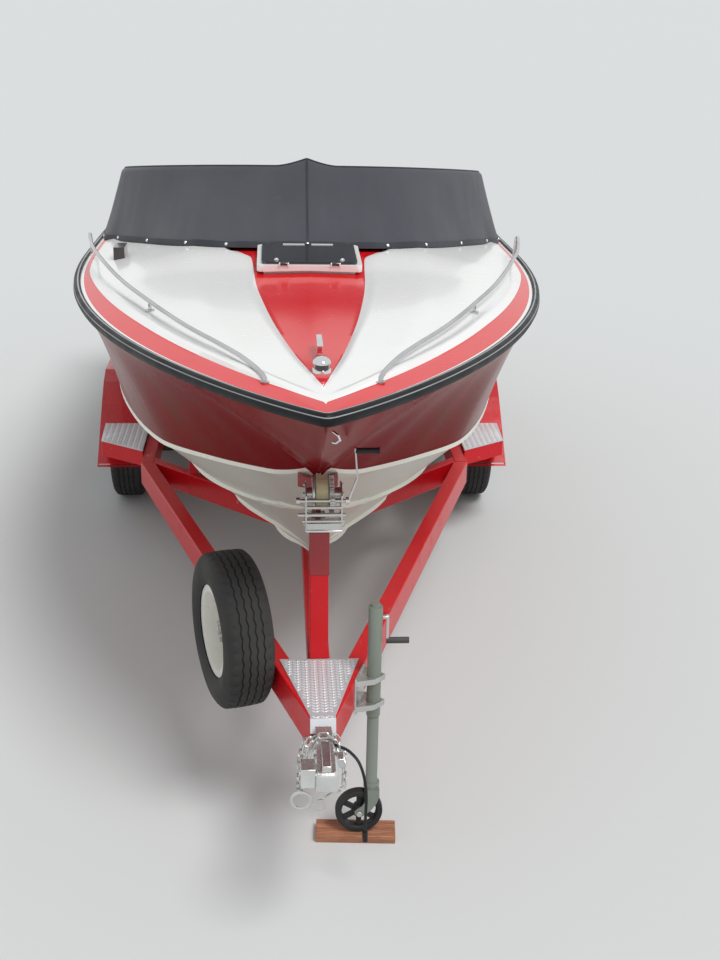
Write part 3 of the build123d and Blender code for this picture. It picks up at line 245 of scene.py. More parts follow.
# Hull: a moulded glass-fibre shell, deep red over the chine and white below it, with a cream
# line along the chine and three spray strakes a side, moulded in. Columns: station, half-breadth
# and height of the chine, height of the keel.
HULL_ROWS = (
    (-0.552, 0.003, 1.192, 1.176), (-0.420, 0.008, 1.128, 1.116), (-0.220, 0.010, 1.020, 1.006),
    (0.0, 0.014, 0.893, 0.876), (0.260, 0.024, 0.736, 0.712), (0.480, 0.190, 0.648, 0.480),
    (0.720, 0.430, 0.618, 0.165), (1.080, 0.706, 0.584, 0.035), (1.760, 0.930, 0.546, 0.030),
    (2.260, 1.030, 0.524, 0.030), (2.760, 1.090, 0.505, 0.030), (4.200, 1.115, 0.490, 0.030),
    (5.560, 1.100, 0.484, 0.030),
)
FIRST_Y, NOSE_Y = -0.552, -0.4
BOW_Y, TRANSOM_Y, BEAM_Y, HALF_BEAM = -0.556, 5.560, 2.760, 1.240
# Gunwale: height amidships, rise to the bow, fall and drawing-in to the stern, half the stem's
# width, and the powers of its line in side view and from above.
SHEER, SHEER_RISE, SHEER_FALL, STERN_TUCK, STEM_HALF = 1.133, 0.076, 0.021, 0.06, 0.008
SHEER_POWER, PLAN_POWER, PLAN_ROUND = 1.917, 2.159, 0.907
# Columns of each strake's rows: y, and share of the way from keel to chine of its inner edge.
STRAKES = (
    ((0.735, 0.0), (0.80, 0.09), (0.92, 0.15), (1.08, 0.19), (TRANSOM_Y, 0.20)),
    ((0.690, 0.0), (0.72, 0.14), (0.80, 0.27), (0.92, 0.37), (1.08, 0.44), (TRANSOM_Y, 0.45)),
    ((0.500, 0.0), (0.525, 0.19), (0.60, 0.40), (0.672, 0.52), (0.853, 0.595), (1.08, 0.68), (1.76, 0.72),
     (TRANSOM_Y, 0.72)),
)
STRAKE_WIDE, STRAKE_DEEP, STRAKE_EDGE, GROWTH = 0.042, 0.018, 0.002, 0.10
FLAT_WIDE, FLAT_DEEP, FLAT_FROM, FLAT_GROWTH, CHINE_LINE = 0.040, 0.010, 0.3, 0.2, 0.014
RED_STEM, SIDE_HOLLOW, SIDE_STRIPS = 0.30, 0.012, 9
# Most of the bottom that the chine's flat takes, most of the side that its line takes, where the
# side's strips start, and the half-breadth from which the side is fully hollow.
FLAT_SHARE, LINE_SHARE, SIDE_START, FULL_HALF = 0.3, 0.4, 0.06, 0.3
RED, WHITE, CREAM = 0, 1, 2


def aft_share(y):
    return (y - BEAM_Y) / (TRANSOM_Y - BEAM_Y)


def bow_share(y):
    return (BEAM_Y - y) / (BEAM_Y - BOW_Y)


def sheer_z(y):
    """Height of the gunwale."""
    if y >= BEAM_Y:
        return SHEER - SHEER_FALL * aft_share(y)
    return SHEER + SHEER_RISE * bow_share(y) ** SHEER_POWER


def sheer_half(y):
    """Half-breadth at the gunwale."""
    if y >= BEAM_Y:
        return HALF_BEAM - STERN_TUCK * aft_share(y) ** 2
    return max(HALF_BEAM * (1 - bow_share(y) ** PLAN_POWER) ** PLAN_ROUND, STEM_HALF)


def eased(rows, y):
    """A table's row at y, between its rows on a smooth line that doesn't overshoot."""
    k = max(i for i in range(len(rows) - 1) if i == 0 or rows[i][0] <= y)
    before, after = rows[k], rows[k + 1]
    span = after[0] - before[0]
    t = min(max((y - before[0]) / span, 0), 1)
    row = [y]
    for column in range(1, len(before)):
        a, b = before[column], after[column]
        slopes = []
        for i in (k, k + 1):
            if i in (0, len(rows) - 1):
                slopes.append((b - a) / span)
                continue
            left = (rows[i][column] - rows[i - 1][column]) / (rows[i][0] - rows[i - 1][0])
            right = (rows[i + 1][column] - rows[i][column]) / (rows[i + 1][0] - rows[i][0])
            slopes.append(0 if left * right <= 0 else 2 * left * right / (left + right))
        row.append(
            (2 * t**3 - 3 * t**2 + 1) * a + (t**3 - 2 * t**2 + t) * span * slopes[0]
            + (3 * t**2 - 2 * t**3) * b + (t**3 - t**2) * span * slopes[1]
        )
    return row


def steps(low, high, count):
    return [low + (high - low) * i / count for i in range(count + 1)]


def joined(*runs):
    """The steps of several runs of low, high and count, where each run starts at the last one's end."""
    return [runs[0][0]] + [value for run in runs for value in steps(*run)[1:]]


def between(knots, at):
    """The value at a place, on straight lines between knots of place and value."""
    for (a, one), (b, other) in zip(knots, knots[1:]):
        if at <= b:
            break
    return one + (other - one) * (at - a) / (b - a)


def smooth(t):
    t = min(max(t, 0), 1)
    return t * t * (3 - 2 * t)


def both_sides(y, half):
    """A row of points at y: half a section from the middle out, after its mirror image."""
    return [(-x, y, z) for x, z in reversed(half[1:])] + [(x, y, z) for x, z in half]


def grid_mesh(name, rows, tones=(), closed=False, lids=0):
    """A mesh of rows of points; tones gives each face's material number, and lids closes 1 or 2 ends."""
    wide = len(rows[0])
    mesh = bpy.data.meshes.new(name)
    faces = []
    for i in range(len(rows) - 1):
        for j in range(wide if closed else wide - 1):
            k = (j + 1) % wide
            faces.append((i * wide + j, i * wide + k, (i + 1) * wide + k, (i + 1) * wide + j))
    tones = list(tones)[:len(faces)]
    last = (len(rows) - 1) * wide
    faces += [tuple(range(last, last + wide)), tuple(reversed(range(wide)))][:lids]
    mesh.from_pydata([tuple(p) for row in rows for p in row], [], faces)
    mesh.polygons.foreach_set("material_index", tones + [0] * (len(faces) - len(tones)))
    return mesh


def welded(mesh, sharp, merge=1e-5):
    """The mesh without doubles, its faces turned outward and shaded smooth up to an angle."""
    work = bmesh.new()
    work.from_mesh(mesh)
    bmesh.ops.remove_doubles(work, verts=work.verts, dist=merge)
    bmesh.ops.dissolve_degenerate(work, edges=work.edges, dist=merge)
    bmesh.ops.recalc_face_normals(work, faces=work.faces)
    work.to_mesh(mesh)
    work.free()
    mesh.shade_smooth()
    mesh.set_sharp_from_angle(angle=sharp)
    return mesh


def shown(mesh, finishes, stands_for=(), sharp=radians(40), merge=1e-5, body="rig"):
    """A piece of a mesh and by its name, welded and settled with its finishes."""
    return settle(added(mesh.name, welded(mesh, sharp, merge)), finishes, body, stands_for)


def strake_share(run, y):
    """Where a strake's inner edge is at y, and how far it has grown from 0 to 1."""
    if y <= run[0][0]:
        return 0.0, 0.0
    return between(run, y), min(1, (y - run[0][0]) / GROWTH)


def hull_section(y):
    """Half the hull's section at y, from the keel out and up, as pairs of x and z, with their tones."""
    _, chine_half, chine_z, keel_z = eased(HULL_ROWS, y)
    half, high = sheer_half(y), sheer_z(y)
    outward = Vector((chine_half, chine_z - keel_z)).normalized()
    below = Vector((outward.y, -outward.x))
    keel, chine = Vector((0, keel_z)), Vector((chine_half, chine_z))
    girth = (chine - keel).length
    points, tones = [keel], []
    for run in STRAKES:
        share, grown = strake_share(run, y)
        inner = keel + outward * share * girth
        outer = inner + outward * STRAKE_WIDE * grown
        points += [inner, inner + below * STRAKE_EDGE * grown, outer + below * STRAKE_DEEP * grown, outer]
        tones += [WHITE, CREAM, CREAM, CREAM]
    points.append(chine - outward * min(FLAT_WIDE, girth * FLAT_SHARE))
    points.append(chine + below * FLAT_DEEP * smooth((y - FLAT_FROM) / FLAT_GROWTH))
    side = Vector((half, high)) - chine
    points.append(chine + side * min(CHINE_LINE, (high - chine_z) * LINE_SHARE) / side.y)
    tones += [WHITE, WHITE, CREAM]
    hollow = SIDE_HOLLOW * min(1, half / FULL_HALF) if y > NOSE_Y else 0
    for share in steps(SIDE_START, 1.0, SIDE_STRIPS):
        points.append(chine + side * share - Vector((hollow * sin(pi * share), 0)))
        tones.append(RED)
    return points, [RED] * len(tones) if y < RED_STEM else tones


hull_rows, hull_tones = [], []
for y in joined((FIRST_Y, 0.0, 16), (0.0, 0.48, 16), (0.48, 1.2, 48), (1.2, TRANSOM_Y, 34)):
    points, tones = hull_section(y)
    hull_rows.append(both_sides(y, points))
    hull_tones += tones[::-1] + tones
hull_mesh = grid_mesh("hull_shell", hull_rows, hull_tones, lids=1)


def gelcoat(name, tone, fade_and_sheen_tone, rough, coat, gloss=0.5, painted_reflection=None):
    """Polished gelcoat: an even colour, in patches a second tone (fading and grime, but a painted sky sheen
    on the red deck), and optional vertical streaks as a painted reflection of the grass.
    """
    material, place = new_finish(name)
    # Patches of the second tone: fading and grime, and on the red deck a painted sheen of the sky.
    fade_and_sheen_patches = place.noise(1.6, 5.0).clear(0.42, 0.68)
    scuffs = place.stretched(1, 7, 1).noise(22.0, 6.0).clear(0.62, 0.74)
    colour = (fade_and_sheen_patches * 0.55).mix(tone, fade_and_sheen_tone)
    # Painted reflection of the grass: brown vertical streaks over the hull, from just aft of the bow.
    if painted_reflection:
        runs = place.stretched(5, 5, 0.5).noise(3.0, 5.0).clear(0.35, 0.7)
        colour = (runs * place.part("Y").clear(0.25, 0.8) * 0.55).mix(colour, painted_reflection)
    surface(place, {
        "Base Color": colour, "Roughness": rough + scuffs * 0.14 + fade_and_sheen_patches * 0.05,
        "Specular IOR Level": gloss, "Coat Weight": coat, "Coat Roughness": 0.06,
        "Normal": place.noise(3.2, 2.0).bump(0.0006),
    })
    return material


# The topsides' brown streaks are a painted reflection of the grass in the deep red gelcoat.
grass_reflection_brown = (0.115, 0.030, 0.008)
red_side = gelcoat("gelcoat_deep_red", (0.20, 0.002, 0.005), (0.24, 0.004, 0.007), 0.18, 0, 0.04, grass_reflection_brown)
white_bottom = gelcoat("gelcoat_white_bottom", (0.56, 0.56, 0.49), (0.50, 0.50, 0.43), 0.3, 0.1)
cream_line = gelcoat("gelcoat_cream", (0.90, 0.88, 0.78), (0.84, 0.81, 0.70), 0.25, 0.2)
shown(hull_mesh, [red_side, white_bottom, cream_line], ["hull"], radians(28))

# Engine in its closed bay, and the cuddy's liner: a white moulded tray under the foredeck, which
# shows when the hatch is open.
(left, right), (ahead, behind), (low, high) = (-0.44, 0.44), (1.18, 2.33), (0.55, 1.12)
LINER_ROUND = 0.04
tray = bpy.data.meshes.new("cuddy_liner")
plan = ((left, ahead), (right, ahead), (right, behind), (left, behind))
corners = [(x, y, z) for z in (low, high) for x, y in plan]
tray.from_pydata(corners, [], [(0, 1, 2, 3), (0, 4, 5, 1), (1, 5, 6, 2), (2, 6, 7, 3), (3, 7, 4, 0)])
liner = added("cuddy_liner", tray)
liner_round = liner.modifiers.new("round", "BEVEL")
liner_round.width, liner_round.segments = LINER_ROUND, 4
white_liner = gelcoat("gelcoat_liner", (0.66, 0.66, 0.64), (0.6, 0.6, 0.57), 0.4, 0.1)
settle(liner, [white_liner])
dress("engine", grained("engine_block", 0.08, 0.1, 0.6, 80, 0.0005, metal=0.4), 0.02)

# Deck: one white moulding with a lower red wedge up its middle, a red band round its edge and a
# low ridge beside it, and a pinstripe outside that. Columns: station, crown over the gunwale,
# share of the half-breadth and height where the side's slope begins.
DECK_ROWS = (
    (-0.552, 0.014, 0.60, 0.013), (-0.420, 0.022, 0.66, 0.018), (-0.220, 0.031, 0.72, 0.022),
    (0.0, 0.042, 0.77, 0.026), (0.260, 0.054, 0.81, 0.029), (0.480, 0.064, 0.83, 0.031),
    (0.720, 0.076, 0.85, 0.033), (1.080, 0.094, 0.87, 0.036), (1.760, 0.122, 0.885, 0.040),
    (2.260, 0.165, 0.89, 0.046), (BEAM_Y, 0.165, 0.89, 0.050), (4.200, 0.120, 0.89, 0.050),
    (TRANSOM_Y, 0.070, 0.89, 0.050),
)
DECK_LIP, CROWN_SHARE = 0.014, 0.8
# Columns: station, half-width of the red wedge, width of the red outer band.
PAINT_ROWS = (
    (-0.552, 0.0, 0.160), (-0.400, 0.0, 0.150), (-0.205, 0.0, 0.148), (-0.190, 0.004, 0.148),
    (0.050, 0.051, 0.150), (0.300, 0.098, 0.150), (0.790, 0.180, 0.143), (1.110, 0.222, 0.128),
    (1.555, 0.267, 0.102), (2.000, 0.292, 0.070), (2.080, 0.300, 0.064), (2.150, 0.330, 0.060),
    (2.210, 0.410, 0.056), (2.600, 0.410, 0.054), (2.700, 0.0, 0.053), (TRANSOM_Y, 0.0, 0.050),
)
PINSTRIPE, STRIPE_SHARE = 0.030, 0.25
WEDGE_DROP, WEDGE_EDGE, WEDGE_FULL = 0.016, 0.026, 0.1
RIDGE_HIGH, RIDGE_OUT, RIDGE_WIDE, RIDGE_IN, RIDGE_FULL = 0.012, 0.016, 0.05, 0.03, 0.3
INNER, WING, OUTER = 8, 22, 6
NEAR_HATCH = (1.5, 2.4)
HATCHWAY = ((Vector((1, 0, 0)), -0.236, 0.236), (Vector((0, 1, 0)), 1.778, 2.159))


def deck_z(x, y):
    """Height of the deck's top, before its mouldings."""
    _, crown, band, band_z = eased(DECK_ROWS, y)
    share = min(abs(x) / sheer_half(y), 1)
    halfway = CROWN_SHARE * crown + (1 - CROWN_SHARE) * band_z
    knots = ((0, crown), (0.5, halfway), (band, band_z), (1, DECK_LIP))
    return sheer_z(y) + between(knots, share)


deck_rows = []
for y in joined((FIRST_Y, 2.6, 120), (2.6, TRANSOM_Y, 24)):
    half = sheer_half(y)
    _, wedge, outer = eased(PAINT_ROWS, y)
    edge = max(half - outer, 0) if y > NOSE_Y else 0
    wedge = min(wedge, edge)
    stripe = half - min(PINSTRIPE, half * STRIPE_SHARE)
    port = []
    for x in joined((0, wedge, INNER), (wedge, edge, WING), (edge, stripe, OUTER)) + [half]:
        sunk = smooth(wedge / WEDGE_FULL) * (1 - smooth((x - wedge) / WEDGE_EDGE))
        drop = 0 if edge < x else WEDGE_DROP * sunk
        ridge = smooth((edge - x) / RIDGE_OUT) * (1 - smooth((edge - x - RIDGE_WIDE) / RIDGE_IN))
        port.append((x, deck_z(x, y) - drop + RIDGE_HIGH * ridge * smooth(edge / RIDGE_FULL)))
    deck_rows.append(both_sides(y, port))
half_tones = [1] * INNER + [0] * WING + [1] * OUTER + [0]
deck_mesh = grid_mesh("deck_shell", deck_rows, (half_tones[::-1] + half_tones) * len(deck_rows))
opening = bmesh.new()
opening.from_mesh(deck_mesh)
for facing, *ends in HATCHWAY:
    for at in ends:
        near = [f for f in opening.faces if NEAR_HATCH[0] < f.calc_center_median().y < NEAR_HATCH[1]]
        near += [e for f in near for e in f.edges] + [v for f in near for v in f.verts]
        near = list(dict.fromkeys(near))
        bmesh.ops.bisect_plane(opening, geom=near, plane_co=facing * at, plane_no=facing)
over_way = [
    f for f in opening.faces
    if all(before < f.calc_center_median().dot(facing) < after for facing, before, after in HATCHWAY)
]
bmesh.ops.delete(opening, geom=over_way, context="FACES")
opening.to_mesh(deck_mesh)
opening.free()
white_deck = gelcoat("gelcoat_white", (0.86, 0.855, 0.83), (0.80, 0.79, 0.76), 0.2, 0.3)
# The red wedge and band drift to a paler pink in patches: a painted sheen of the sky.
red_deck = gelcoat("gelcoat_bright_red", (0.70, 0.006, 0.010), (0.74, 0.03, 0.04), 0.16, 0.12, 0.3)
shown(deck_mesh, [white_deck, red_deck], ["deck"], CREASE)

# Rub rail: a black vinyl extrusion screwed on over the joint of hull and deck, with a thin pale
# insert pressed into its face. Columns: distance out from the gunwale, height, tone of the strip
# after it.
RUB_PROFILE = (
    (-0.012, 0.022, 0), (-0.002, 0.026, 1), (0.005, 0.026, 0), (0.015, 0.023, 0), (0.0215, 0.015, 1),
    (0.023, 0.011, 0), (0.024, 0.004, 0), (0.025, -0.006, 0), (0.018, -0.020, 0), (-0.004, -0.026, 0),
)
AFT_Y, BEND_STEPS = (TRANSOM_Y, 5.0, 4.4, 3.8, 3.3), 60


def neighbours(line):
    """Each point of a line with the one before and the one after it."""
    return zip([line[0], *line], line, [*line[1:], line[-1]])


rub_rows = []
aft_to_bow = [*AFT_Y, *(BEAM_Y - (BEAM_Y - FIRST_Y) * sin(a) for a in steps(0, pi / 2, BEND_STEPS))]
gunwale = [Vector((-sheer_half(y), y, sheer_z(y))) for y in aft_to_bow]
gunwale += [Vector((-p.x, p.y, p.z)) for p in reversed(gunwale)]
for before, here, after in neighbours(gunwale):
    out = Vector((after.y - before.y, before.x - after.x, 0)).normalized()
    rub_rows.append([here + out * d + Vector((0, 0, z)) for d, z, _ in RUB_PROFILE])
rub_tones = [tone for _, _, tone in RUB_PROFILE[:-1]] * len(rub_rows)
near_black = (0.008, 0.008, 0.009), (0.014, 0.014, 0.015)
black_vinyl = grained("vinyl_black", *near_black, 0.45, 60, 0.0006, gloss=0.2)
pale_insert = grained("insert_pale", (0.34, 0.34, 0.36), (0.26, 0.26, 0.28), 0.35, 40)
shown(grid_mesh("rub_strip", rub_rows, rub_tones), [black_vinyl, pale_insert], ["rub_rail"])

# Foredeck hatch: a white moulded frame, and a lid of smoked acrylic on two hinges, with two
# chromed catches through it near its forward edge and two white stays showing at its back.
smoked = grained("smoked_acrylic", (0.018, 0.020, 0.022), (0.025, 0.026, 0.03), 0.08, 40, 0.0001, coat=0.6)
steel = grained("stainless_polished", (0.78, 0.78, 0.79), (0.70, 0.70, 0.71), 0.12, 60, 0.0001, metal=1)
dress("hatch_frame", white_deck, 0.004)
dress("hatch_lid", smoked, 0.003)
LID_SLOPE, LID_MIDDLE = radians(3.6), Vector((0, 1.9685, 1.302))
# Stacked discs of a catch: radius, height of the middle over the lid's plane.
CATCH_X, CATCH_Y, CATCH_DISCS = 0.167, -0.155, ((0.013, 0.0150), (0.007, 0.0200))
CATCH_DRAFT, CATCH_HIGH = 0.88, 0.006
STAY_X, STAY_Y, STAY_Z, STAY_SIZE = 0.075, 0.168, 0.0145, (0.114, 0.012, 0.005)


def on_lid(x, y, z):
    """A place on the closed lid: x across, y aft of its middle and z over the frame, in rig metres."""
    return Matrix.Translation(LID_MIDDLE + Matrix.Rotation(LID_SLOPE, 3, "X") @ Vector((x, y, z)))


def put(work, made, place):
    """Moves what an operator has just made in work to its place."""
    bmesh.ops.transform(work, matrix=place, verts=made["verts"])


def poured(name, work):
    """The mesh of a bmesh that is done with."""
    mesh = bpy.data.meshes.new(name)
    work.to_mesh(mesh)
    work.free()
    return mesh


catches, stays = bmesh.new(), bmesh.new()
for side in SIDES.values():
    for r, z in CATCH_DISCS:
        size = {"radius1": r, "radius2": r * CATCH_DRAFT, "depth": CATCH_HIGH}
        cone = bmesh.ops.create_cone(catches, cap_ends=True, segments=28, **size)
        put(catches, cone, on_lid(side * CATCH_X, CATCH_Y, z))
    flat_bar = on_lid(side * STAY_X, STAY_Y, STAY_Z) @ Matrix.Diagonal((*STAY_SIZE, 1))
    put(stays, bmesh.ops.create_cube(stays, size=1), flat_bar)
rounded(shown(poured("hatch_catches", catches), [steel], body="hatch"), 0.0012)
shown(poured("hatch_stays", stays), [white_deck], body="hatch")

# Bow rails: slender polished stainless tube in smooth bends, on a foot, a post and a heel, with
# a round screwed flange over each hole in the deck. Points in millimetres.
BOW_RAIL = (
    (205, -150, 1195), (222, -90, 1236), (300, 120, 1246), (400, 330, 1248), (562, 650, 1250),
    (742, 1070, 1254), (930, 1550, 1262), (1110, 2110, 1285), (1180, 2440, 1297), (1203, 2590, 1296),
    (1208, 2660, 1262), (1206, 2690, 1160),
)
RAIL_FOOT, RAIL_POST, POST_TOP = (0.210, -0.135), (0.741, 1.092), 1.252
RAIL_TUBE, POST_TUBE, FLANGE, FLANGE_HIGH = 0.0095, 0.0076, 0.021, 0.0061
rail_steel = grained("rail_steel", (0.62, 0.62, 0.63), (0.50, 0.50, 0.51), 0.12, 60, 0.0001, metal=1)


def passing(a, b, c, d, t):
    """The value at t, from b at 0 to c at 1, on a smooth line that passes through all four."""
    return 0.5 * (2 * b + (c - a) * t + (2 * a - 5 * b + 4 * c - d) * t**2 + (3 * b - a - 3 * c + d) * t**3)


def curve_points(points, pitch):
    """Points at an even pitch on a smooth line through the points."""
    padded = [2 * points[0] - points[1], *points, 2 * points[-1] - points[-2]]
    fours = list(zip(padded, padded[1:], padded[2:], padded[3:]))
    even = [points[0]]
    for point in [passing(*four, t) for four in fours for t in steps(0, 1, 40)[:-1]] + [points[-1]]:
        while (point - even[-1]).length >= pitch:
            even.append(even[-1] + (point - even[-1]).normalized() * pitch)
    return even


def circle(count, turned=0.0):
    """Cosine and sine of even steps round a circle."""
    return [(cos(2 * pi * (i + turned) / count), sin(2 * pi * (i + turned) / count)) for i in range(count)]


def tube_mesh(name, points, radius, around=16):
    """A round tube along points, with flat ends."""
    rows = []
    for before, here, after in neighbours(points):
        run = (after - before).normalized()
        side = run.cross(Vector((0.3, 0.2, 1))).normalized()
        rows.append([here + radius * (side * c + side.cross(run) * s) for c, s in circle(around)])
    return grid_mesh(name, rows, closed=True, lids=2)


rail_work = bmesh.new()
for side in SIDES.values():
    line = curve_points([Vector((side * x, y, z)) / 1000 for x, y, z in BOW_RAIL], 0.012)
    rail_work.from_mesh(tube_mesh("rail", line, RAIL_TUBE))
    for x, y in (RAIL_FOOT, RAIL_POST):
        foot = Vector((side * x, y, deck_z(x, y)))
        rail_work.from_mesh(tube_mesh("flange", [foot, foot + Vector((0, 0, FLANGE_HIGH))], FLANGE, 24))
    rail_work.from_mesh(tube_mesh("post", [foot, Vector((foot.x, foot.y, POST_TOP))], POST_TUBE))
shown(poured("bow_rail_tubes", rail_work), [rail_steel], ["bow_rails"], CREASE, 1e-6)

# Canvas cover: charcoal acrylic canvas, stretched over the screen's frame and snapped down round
# the deck. It is sewn in two halves with a seam up the middle, where a pole lifts a small peak.
# Columns: x, y of half the hem from the bow aft, and of the top edge over it. Each of the first
# seven rows has a snap.
COVER_ROWS = (
    (0.0, 2.196, 0.0, 2.500), (0.217, 2.206, 0.190, 2.530), (0.437, 2.258, 0.385, 2.568),
    (0.662, 2.390, 0.590, 2.670), (0.900, 2.705, 0.830, 2.870), (1.100, 3.020, 1.010, 3.110),
    (1.212, 3.260, 1.086, 3.300), (1.218, 3.640, 1.090, 3.640), (1.190, 4.200, 1.050, 4.200),
    (1.165, 4.800, 1.030, 4.750), (1.120, 5.200, 1.000, 5.080), (1.020, 5.320, 0.920, 5.175),
    (0.600, 5.340, 0.550, 5.195), (0.0, 5.345, 0.0, 5.200),
)
SPAN = len(COVER_ROWS) - 1
TOP_AT, TOP_FALL, SPINE = (2.4, 1.707), 0.146, (2.9, 4.85)
ROUND_SIDE, ROUND_TOP = 0.07, 0.035
PEAK, PEAK_WIDE, PEAK_Y, PEAK_POWER = 0.040, 0.17, 2.5, 1.6
SIDE_BELLY, TOP_SAG, PUCKER, CREASED, TOP_DRIFT, HEM_LIFT = 0.005, 0.022, 0.009, 0.0022, 0.006, 0.003
SIDE_STEPS = [0, 0.025, 0.05, 0.075]
SIDE_STEPS += joined((0.11, 1 - ROUND_SIDE, 14), (1 - ROUND_SIDE, 1 + ROUND_TOP, 6))
TOP_STEPS = steps(1 + ROUND_TOP, 2, 14)[1:]


def cover_row(i):
    """Row i of the cover's table, mirrored past its two ends."""
    x0, y0, x1, y1 = COVER_ROWS[min(abs(i), 2 * SPAN - i)]
    sign = 1 if 0 <= i <= SPAN else -1
    return sign * x0, y0, sign * x1, y1


def under_slope(x, y):
    """A point of the cover's top plane, which falls aft."""
    return Vector((x, y, TOP_AT[1] - TOP_FALL * (y - TOP_AT[0])))


def cover_form(s, t):
    """The taut cover at s round the hem, from 0 at the bow, and at t up it, 1 at its top edge."""
    k = min(int(abs(s)), SPAN - 1)
    near = [cover_row(k + i) for i in (-1, 0, 1, 2)]
    hem_x, hem_y, top_x, top_y = (passing(*four, abs(s) - k) for four in zip(*near))
    side = -1 if s < 0 else 1
    hem = Vector((side * hem_x, hem_y, deck_z(min(hem_x, sheer_half(hem_y)), hem_y) + HEM_LIFT))
    top = under_slope(side * top_x, top_y)
    front, back = COVER_ROWS[0][3], COVER_ROWS[-1][3]
    spine = under_slope(0, SPINE[0] + (top_y - front) * (SPINE[1] - SPINE[0]) / (back - front))
    if t <= 1 - ROUND_SIDE:
        return hem.lerp(top, t)
    if t >= 1 + ROUND_TOP:
        return top.lerp(spine, t - 1)
    part = (t - 1 + ROUND_SIDE) / (ROUND_SIDE + ROUND_TOP)
    below, above = hem.lerp(top, 1 - ROUND_SIDE), top.lerp(spine, ROUND_TOP)
    return below.lerp(top, part).lerp(top.lerp(above, part), part)


def cover_at(s, t, lift=0.0):
    """The cover's real surface: hollow between its edges, puckered at the snaps and lightly creased."""
    here = cover_form(s, t)
    along = cover_form(s + 0.02, t) - cover_form(s - 0.02, t)
    inward = cover_form(s, min(t + 0.02, 2)) - cover_form(s, max(t - 0.02, 0))
    out = along.cross(inward)
    out = out.normalized() if out.length > 1e-9 else Vector((0, 0, 1))
    if out.z < 0:
        out = -out
    if t < 1:
        broad = noise.noise(Vector((s * 2.2, t * 0.9, 0.3)))
        fine = noise.noise(Vector((s * 7.0, t * 2.0, 4.0)))
        rise = SIDE_BELLY * sin(pi * t) * (broad - 1) + CREASED * smooth(t / 0.2) * fine
        rise += PUCKER * (1 - t) ** 3 * smooth(t / 0.06) * (1 - abs(cos(pi * s)) ** 3)
    else:
        broad = noise.noise(Vector((here.x * 2.2, here.y * 2.2, 1.0)))
        rise = TOP_DRIFT * sin(pi * (t - 1)) * broad - TOP_SAG * sin(pi * (t - 1) / 2) ** 2
    close = max(0, 1 - Vector((here.x, here.y - PEAK_Y)).length / PEAK_WIDE)
    return here + out * (rise + lift) + Vector((0, 0, PEAK * close**PEAK_POWER))


canvas, canvas_place = new_finish("canvas_charcoal")
weave = {"Vector": canvas_place, "Scale": 130.0}
threads = [canvas_place.node("ShaderNodeTexWave", {"bands_direction": way}, weave, 1) for way in "XY"]
dust = canvas_place.noise(1.4, 6.0).clear(0.45, 0.75)
marks = canvas_place.stretched(1, 4, 4).noise(9.0, 6.0).clear(0.66, 0.76)
canvas_tone = (dust * 0.6).mix((0.060, 0.064, 0.076), (0.080, 0.085, 0.098))
surface(canvas_place, {
    "Base Color": (marks * 0.25).mix(canvas_tone, (0.13, 0.13, 0.14)),
    "Roughness": 0.82 - dust * 0.1, "Sheen Weight": 0.25, "Sheen Roughness": 0.5, "Specular IOR Level": 0.3,
    "Normal": ((threads[0] + threads[1]) * 0.5 + canvas_place.noise(500.0, 2.0)).bump(0.0005, 0.8),
})
round_hem = steps(-SPAN, SPAN, 312)
cover_mesh = grid_mesh("cover_sheet", [[cover_at(s, t) for s in round_hem] for t in SIDE_STEPS + TOP_STEPS])
cover_sheet = shown(cover_mesh, [canvas], ["cover"], radians(60), 0.0004)

# Its trim: a doubled hem band, piping along the top edge, the middle seam with a fold on each side
# of it, and a chromed snap at each fixing. Columns of the band: t and height over the canvas; of
# the seam: place across and height.
HEM_BAND = ((0.0, 0.0), (0.0, 0.0022), (0.035, 0.0026), (0.068, 0.0024), (0.070, 0.0))
SEAM = ((-0.007, 0.0), (-0.006, 0.0014), (-0.002, 0.0008), (0.002, 0.0008), (0.006, 0.0014), (0.007, 0.0))
PIPE, PIPE_SPAN = 0.0045, 6.6
SNAP_T, SNAP_OUT, SNAP_RADIUS = 0.036, 0.0045, 0.0095
SIDE_SNAPS = (1, 2, 3, 4, 5, 6, 7, 7.7, 8.4, 9.1, 9.8, 10.5, 11.3, 12.2)
pipe_rows, seam_rows = [], []
for s in steps(-PIPE_SPAN, PIPE_SPAN, 220):
    middle = cover_at(s, 1.0, 0.001)
    run = (cover_at(s + 0.03, 1.0) - cover_at(s - 0.03, 1.0)).normalized()
    aside = run.cross(Vector((0, 0, 1))).normalized()
    pipe_rows.append([middle + PIPE * (aside * a + aside.cross(run) * b) for a, b in circle(8)])
for t in joined((0.0, 1.0, 40), (1.0, 1.98, 24)):
    seam_rows.append([cover_at(0.0, t, lift) + Vector((x, 0, 0)) for x, lift in SEAM])
trim = bmesh.new()
trim.from_mesh(grid_mesh("hem", [[cover_at(s, t, lift) for s in round_hem] for t, lift in HEM_BAND]))
trim.from_mesh(grid_mesh("piping", pipe_rows, closed=True, lids=2))
trim.from_mesh(grid_mesh("seam", seam_rows))
dark_canvas = grained(
    "canvas_trim", (0.038, 0.040, 0.048), (0.052, 0.055, 0.064), 0.85, 600, 0.0006, sheen=0.2, gloss=0.2,
)
shown(poured("cover_trim", trim), [dark_canvas], (), radians(50), 1e-6)
snaps = bmesh.new()
for s in (0, *SIDE_SNAPS, *(-s for s in SIDE_SNAPS)):
    out = (cover_at(s, SNAP_T, 0.01) - cover_at(s, SNAP_T)).to_track_quat("Z", "Y").to_matrix().to_4x4()
    place = Matrix.Translation(cover_at(s, SNAP_T, SNAP_OUT)) @ out @ Matrix.Diagonal((1, 1, 0.5, 1))
    put(snaps, bmesh.ops.create_uvsphere(snaps, u_segments=16, v_segments=8, radius=SNAP_RADIUS), place)
